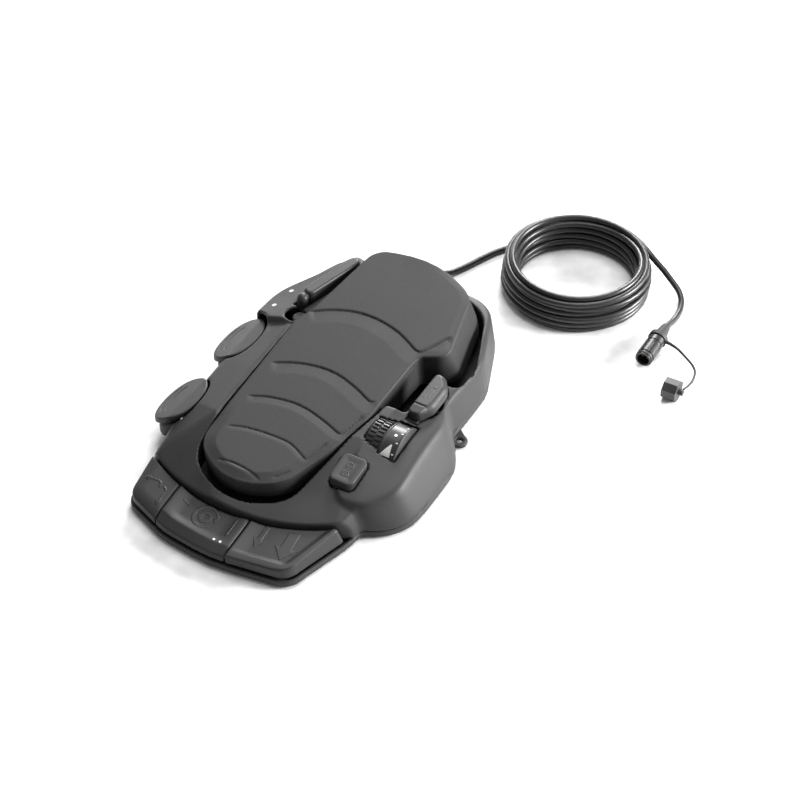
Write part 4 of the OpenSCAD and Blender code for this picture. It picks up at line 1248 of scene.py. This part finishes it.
front_icon("icon_slow", "right", [arrow(27, -126, 27, -147, 2.1, 5.0, 8.0)])
front_icon("icon_fast", "right", [arrow(48, -122, 50, -149, 4.4, 9.6, 12.0)])
icon("icon_lock", [
    ring_part(60.6, -61.2, 2.5, 0.6, -60, 240), ring_part(60.6, -69.2, 2.5, 0.6, -240, 60),
], lambda x, y: square_top(y) - SQUARE_DISH, "square_key", 0.3)
icon("icon_mode", [
    np.array([(76.6, 22), (77.8, 22), (77.8, 41), (76.6, 41)]),
    arrow(80.4, 24, 80.4, 39, 0.5, 1.7, 3.4),
], lambda x, y: np.full(np.broadcast(x, y).shape, ROCKER_TOP), "rocker_key", 0.3)


# White dots on the raised deck: painted highlights.
for k, (lx, ly) in enumerate(((-84.0, 67.0), (-81.0, 89.0))):
    lens = icon(
        "deck_painted_glint_%d" % k, [ring_part(lx, ly, 1.0, 0.95, 0, 359)],
        lambda x, y: RAISE_Z + raise_fall(x, y), "housing", 0.3, WHITE, 0.35,
    )


# ---------------------------------------------------------------- domes and springs

def lathe(name, profile, at, material, parts=40):
    """Turned solid around the vertical line through `at`; profile is a list of (r, z)."""
    verts, faces, rings = [], [], []
    for r, h in profile:
        if r == 0:
            rings.append([len(verts)] * parts)
            verts.append((at[0] * MM, at[1] * MM, (at[2] + h) * MM))
            continue
        rings.append([len(verts) + k for k in range(parts)])
        for k in range(parts):
            a = 2 * math.pi * k / parts
            verts.append((
                (at[0] + r * math.cos(a)) * MM, (at[1] + r * math.sin(a)) * MM,
                (at[2] + h) * MM,
            ))
    for i, low in enumerate(rings):
        high = rings[(i + 1) % len(rings)]
        for k in range(parts):
            n = (k + 1) % parts
            corners = list(dict.fromkeys((low[k], low[n], high[n], high[k])))
            if len(corners) > 2:
                faces.append(corners)
    obj = link_mesh(name, verts, faces, material)
    obj.data.set_sharp_from_angle(angle=math.radians(50.0))
    return obj


def bar_point(lx, ly):
    c, s = math.cos(BAR_TURN), math.sin(BAR_TURN)
    return BAR_AT[0] + lx * c - ly * s, BAR_AT[1] + lx * s + ly * c


# Per dome: x, y and z of its foot, height, outer radius, the node it replaces
DOMES = {
    "left_front": (*FRONT_DOMES[0], 6.6, 3.6, 6.0, "left_front_dome"),
    "centre_front": (*FRONT_DOMES[1], 6.6, 3.6, 6.0, "centre_front_dome"),
    "right_front": (*FRONT_DOMES[2], 6.6, 3.6, 6.0, "right_front_dome"),
    "front_side": (-86.0, -49.0, 18.6, 6.0, 6.0, "front_side_dome"),
    "rear_side": (-81.0, 29.0, 18.6, 6.0, 6.0, "rear_side_dome"),
    "square": (*SQUARE_STEM, 21.6, 6.0, 6.0, "square_dome"),
    "bar": (*bar_point(*BAR_STEM), 35.6, 6.0, 3.8, "momentary_dome"),
    "rocker": (*ROCKER_STEM, 27.6, 6.0, 4.0, "rocker_dome"),
}
for key, (dx, dy, dz, tall, r, node) in DOMES.items():
    dome = lathe(key + "_return_dome", [
        (r - 1.2, 0), (r + 1.15, 0), (r + 1.15, 0.6), (r + 0.95, 0.8), (r + 0.1, 0.8),
        (r * 0.86, tall * 0.35), (r * 0.56, tall - 1.0), (r * 0.5, tall - 0.25),
        (r * 0.44, tall), (0, tall), (0, tall - 1.6), (r / 2 - 0.8, tall - 2.2),
        (r * 0.6, tall * 0.3),
    ], (dx, dy, dz), MATERIALS["dome_rubber"])
    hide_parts(node)
    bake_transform(dome)


def spring(name, at, length, turns, radius=7.0, wire=0.9, sides=10):
    """Compression spring standing on `at`, its end turns laid flat."""
    verts, faces = [], []
    flat, flat_rise = 0.8, 0.07
    steps = int(turns * 28)
    rise = length - 2 * wire
    for i in range(steps + 1):
        t = i / steps * turns
        a = 2 * math.pi * t
        share = (np.clip(t - flat, 0.0, turns - 1.6)) / (turns - 1.6)
        h = wire + rise * (flat_rise * min(t, flat) / flat + 0.86 * share
                           + flat_rise * max(0.0, t - turns + flat) / flat)
        for k in range(sides):
            b = 2 * math.pi * k / sides
            r = radius + wire * math.cos(b)
            verts.append((
                (at[0] + r * math.cos(a)) * MM, (at[1] + r * math.sin(a)) * MM,
                (at[2] + h + wire * math.sin(b)) * MM,
            ))
    for i in range(steps):
        for k in range(sides):
            n = (k + 1) % sides
            low, high = i * sides, (i + 1) * sides
            faces.append((low + k, high + k, high + n, low + n))
    faces.append(tuple(range(sides)))
    faces.append(tuple(steps * sides + k for k in reversed(range(sides))))
    return link_mesh(name, verts, faces, MATERIALS["spring_steel"])


for name, node, at, length in (
    ("front_return_spring", "front_pedal_spring", (-6.0, -74.0, 11.0), 27.6),
    ("rear_return_spring", "rear_pedal_spring", (12.0, 112.0, 26.0), 28.8),
):
    coil = spring(name, at, length, 6)
    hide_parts(node)
    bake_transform(coil)


# ---------------------------------------------------------------- stage

floor = link_mesh(
    "floor", [(-4, -4, 0), (4, -4, 0), (4, 4, 0), (-4, 4, 0)], [(0, 1, 2, 3)],
    plastic("floor_white", (0.93, 0.93, 0.93), 0.8, 0.02, 20.0, tint=0.004, wear=0.0),
    smooth=False,
)


def area_light(name, at, aim, size, watts, colour=(1.0, 1.0, 1.0)):
    data = bpy.data.lights.new(name, "AREA")
    data.shape = "DISK"
    data.size = size
    data.energy = watts
    data.color = colour
    lamp = link_new(name, data)
    lamp.location = at
    lamp.rotation_euler = (Vector(at) - Vector(aim)).to_track_quat("Z", "Y").to_euler()


area_light("overhead", (0.0, 0.7, 2.2), (0.05, 0.08, 0), 1.6, 38)
area_light("rear_rim", (-0.7, 2.3, 1.15), (0.02, 0.1, 0), 1.0, 78)
area_light("right_side", (1.8, 1.0, 0.55), (0.08, 0.0, 0), 0.8, 105)
area_light("left_rim", (-1.7, 1.6, 0.45), (-0.09, 0.0, 0.03), 0.6, 9)
world = bpy.data.worlds.new("studio")
world.use_nodes = True
world.node_tree.nodes["Background"].inputs["Color"].default_value = (1.0, 1.0, 1.0, 1.0)
world.node_tree.nodes["Background"].inputs["Strength"].default_value = 0.28
bpy.context.scene.world = world
bpy.context.scene.view_settings.view_transform = "Standard"
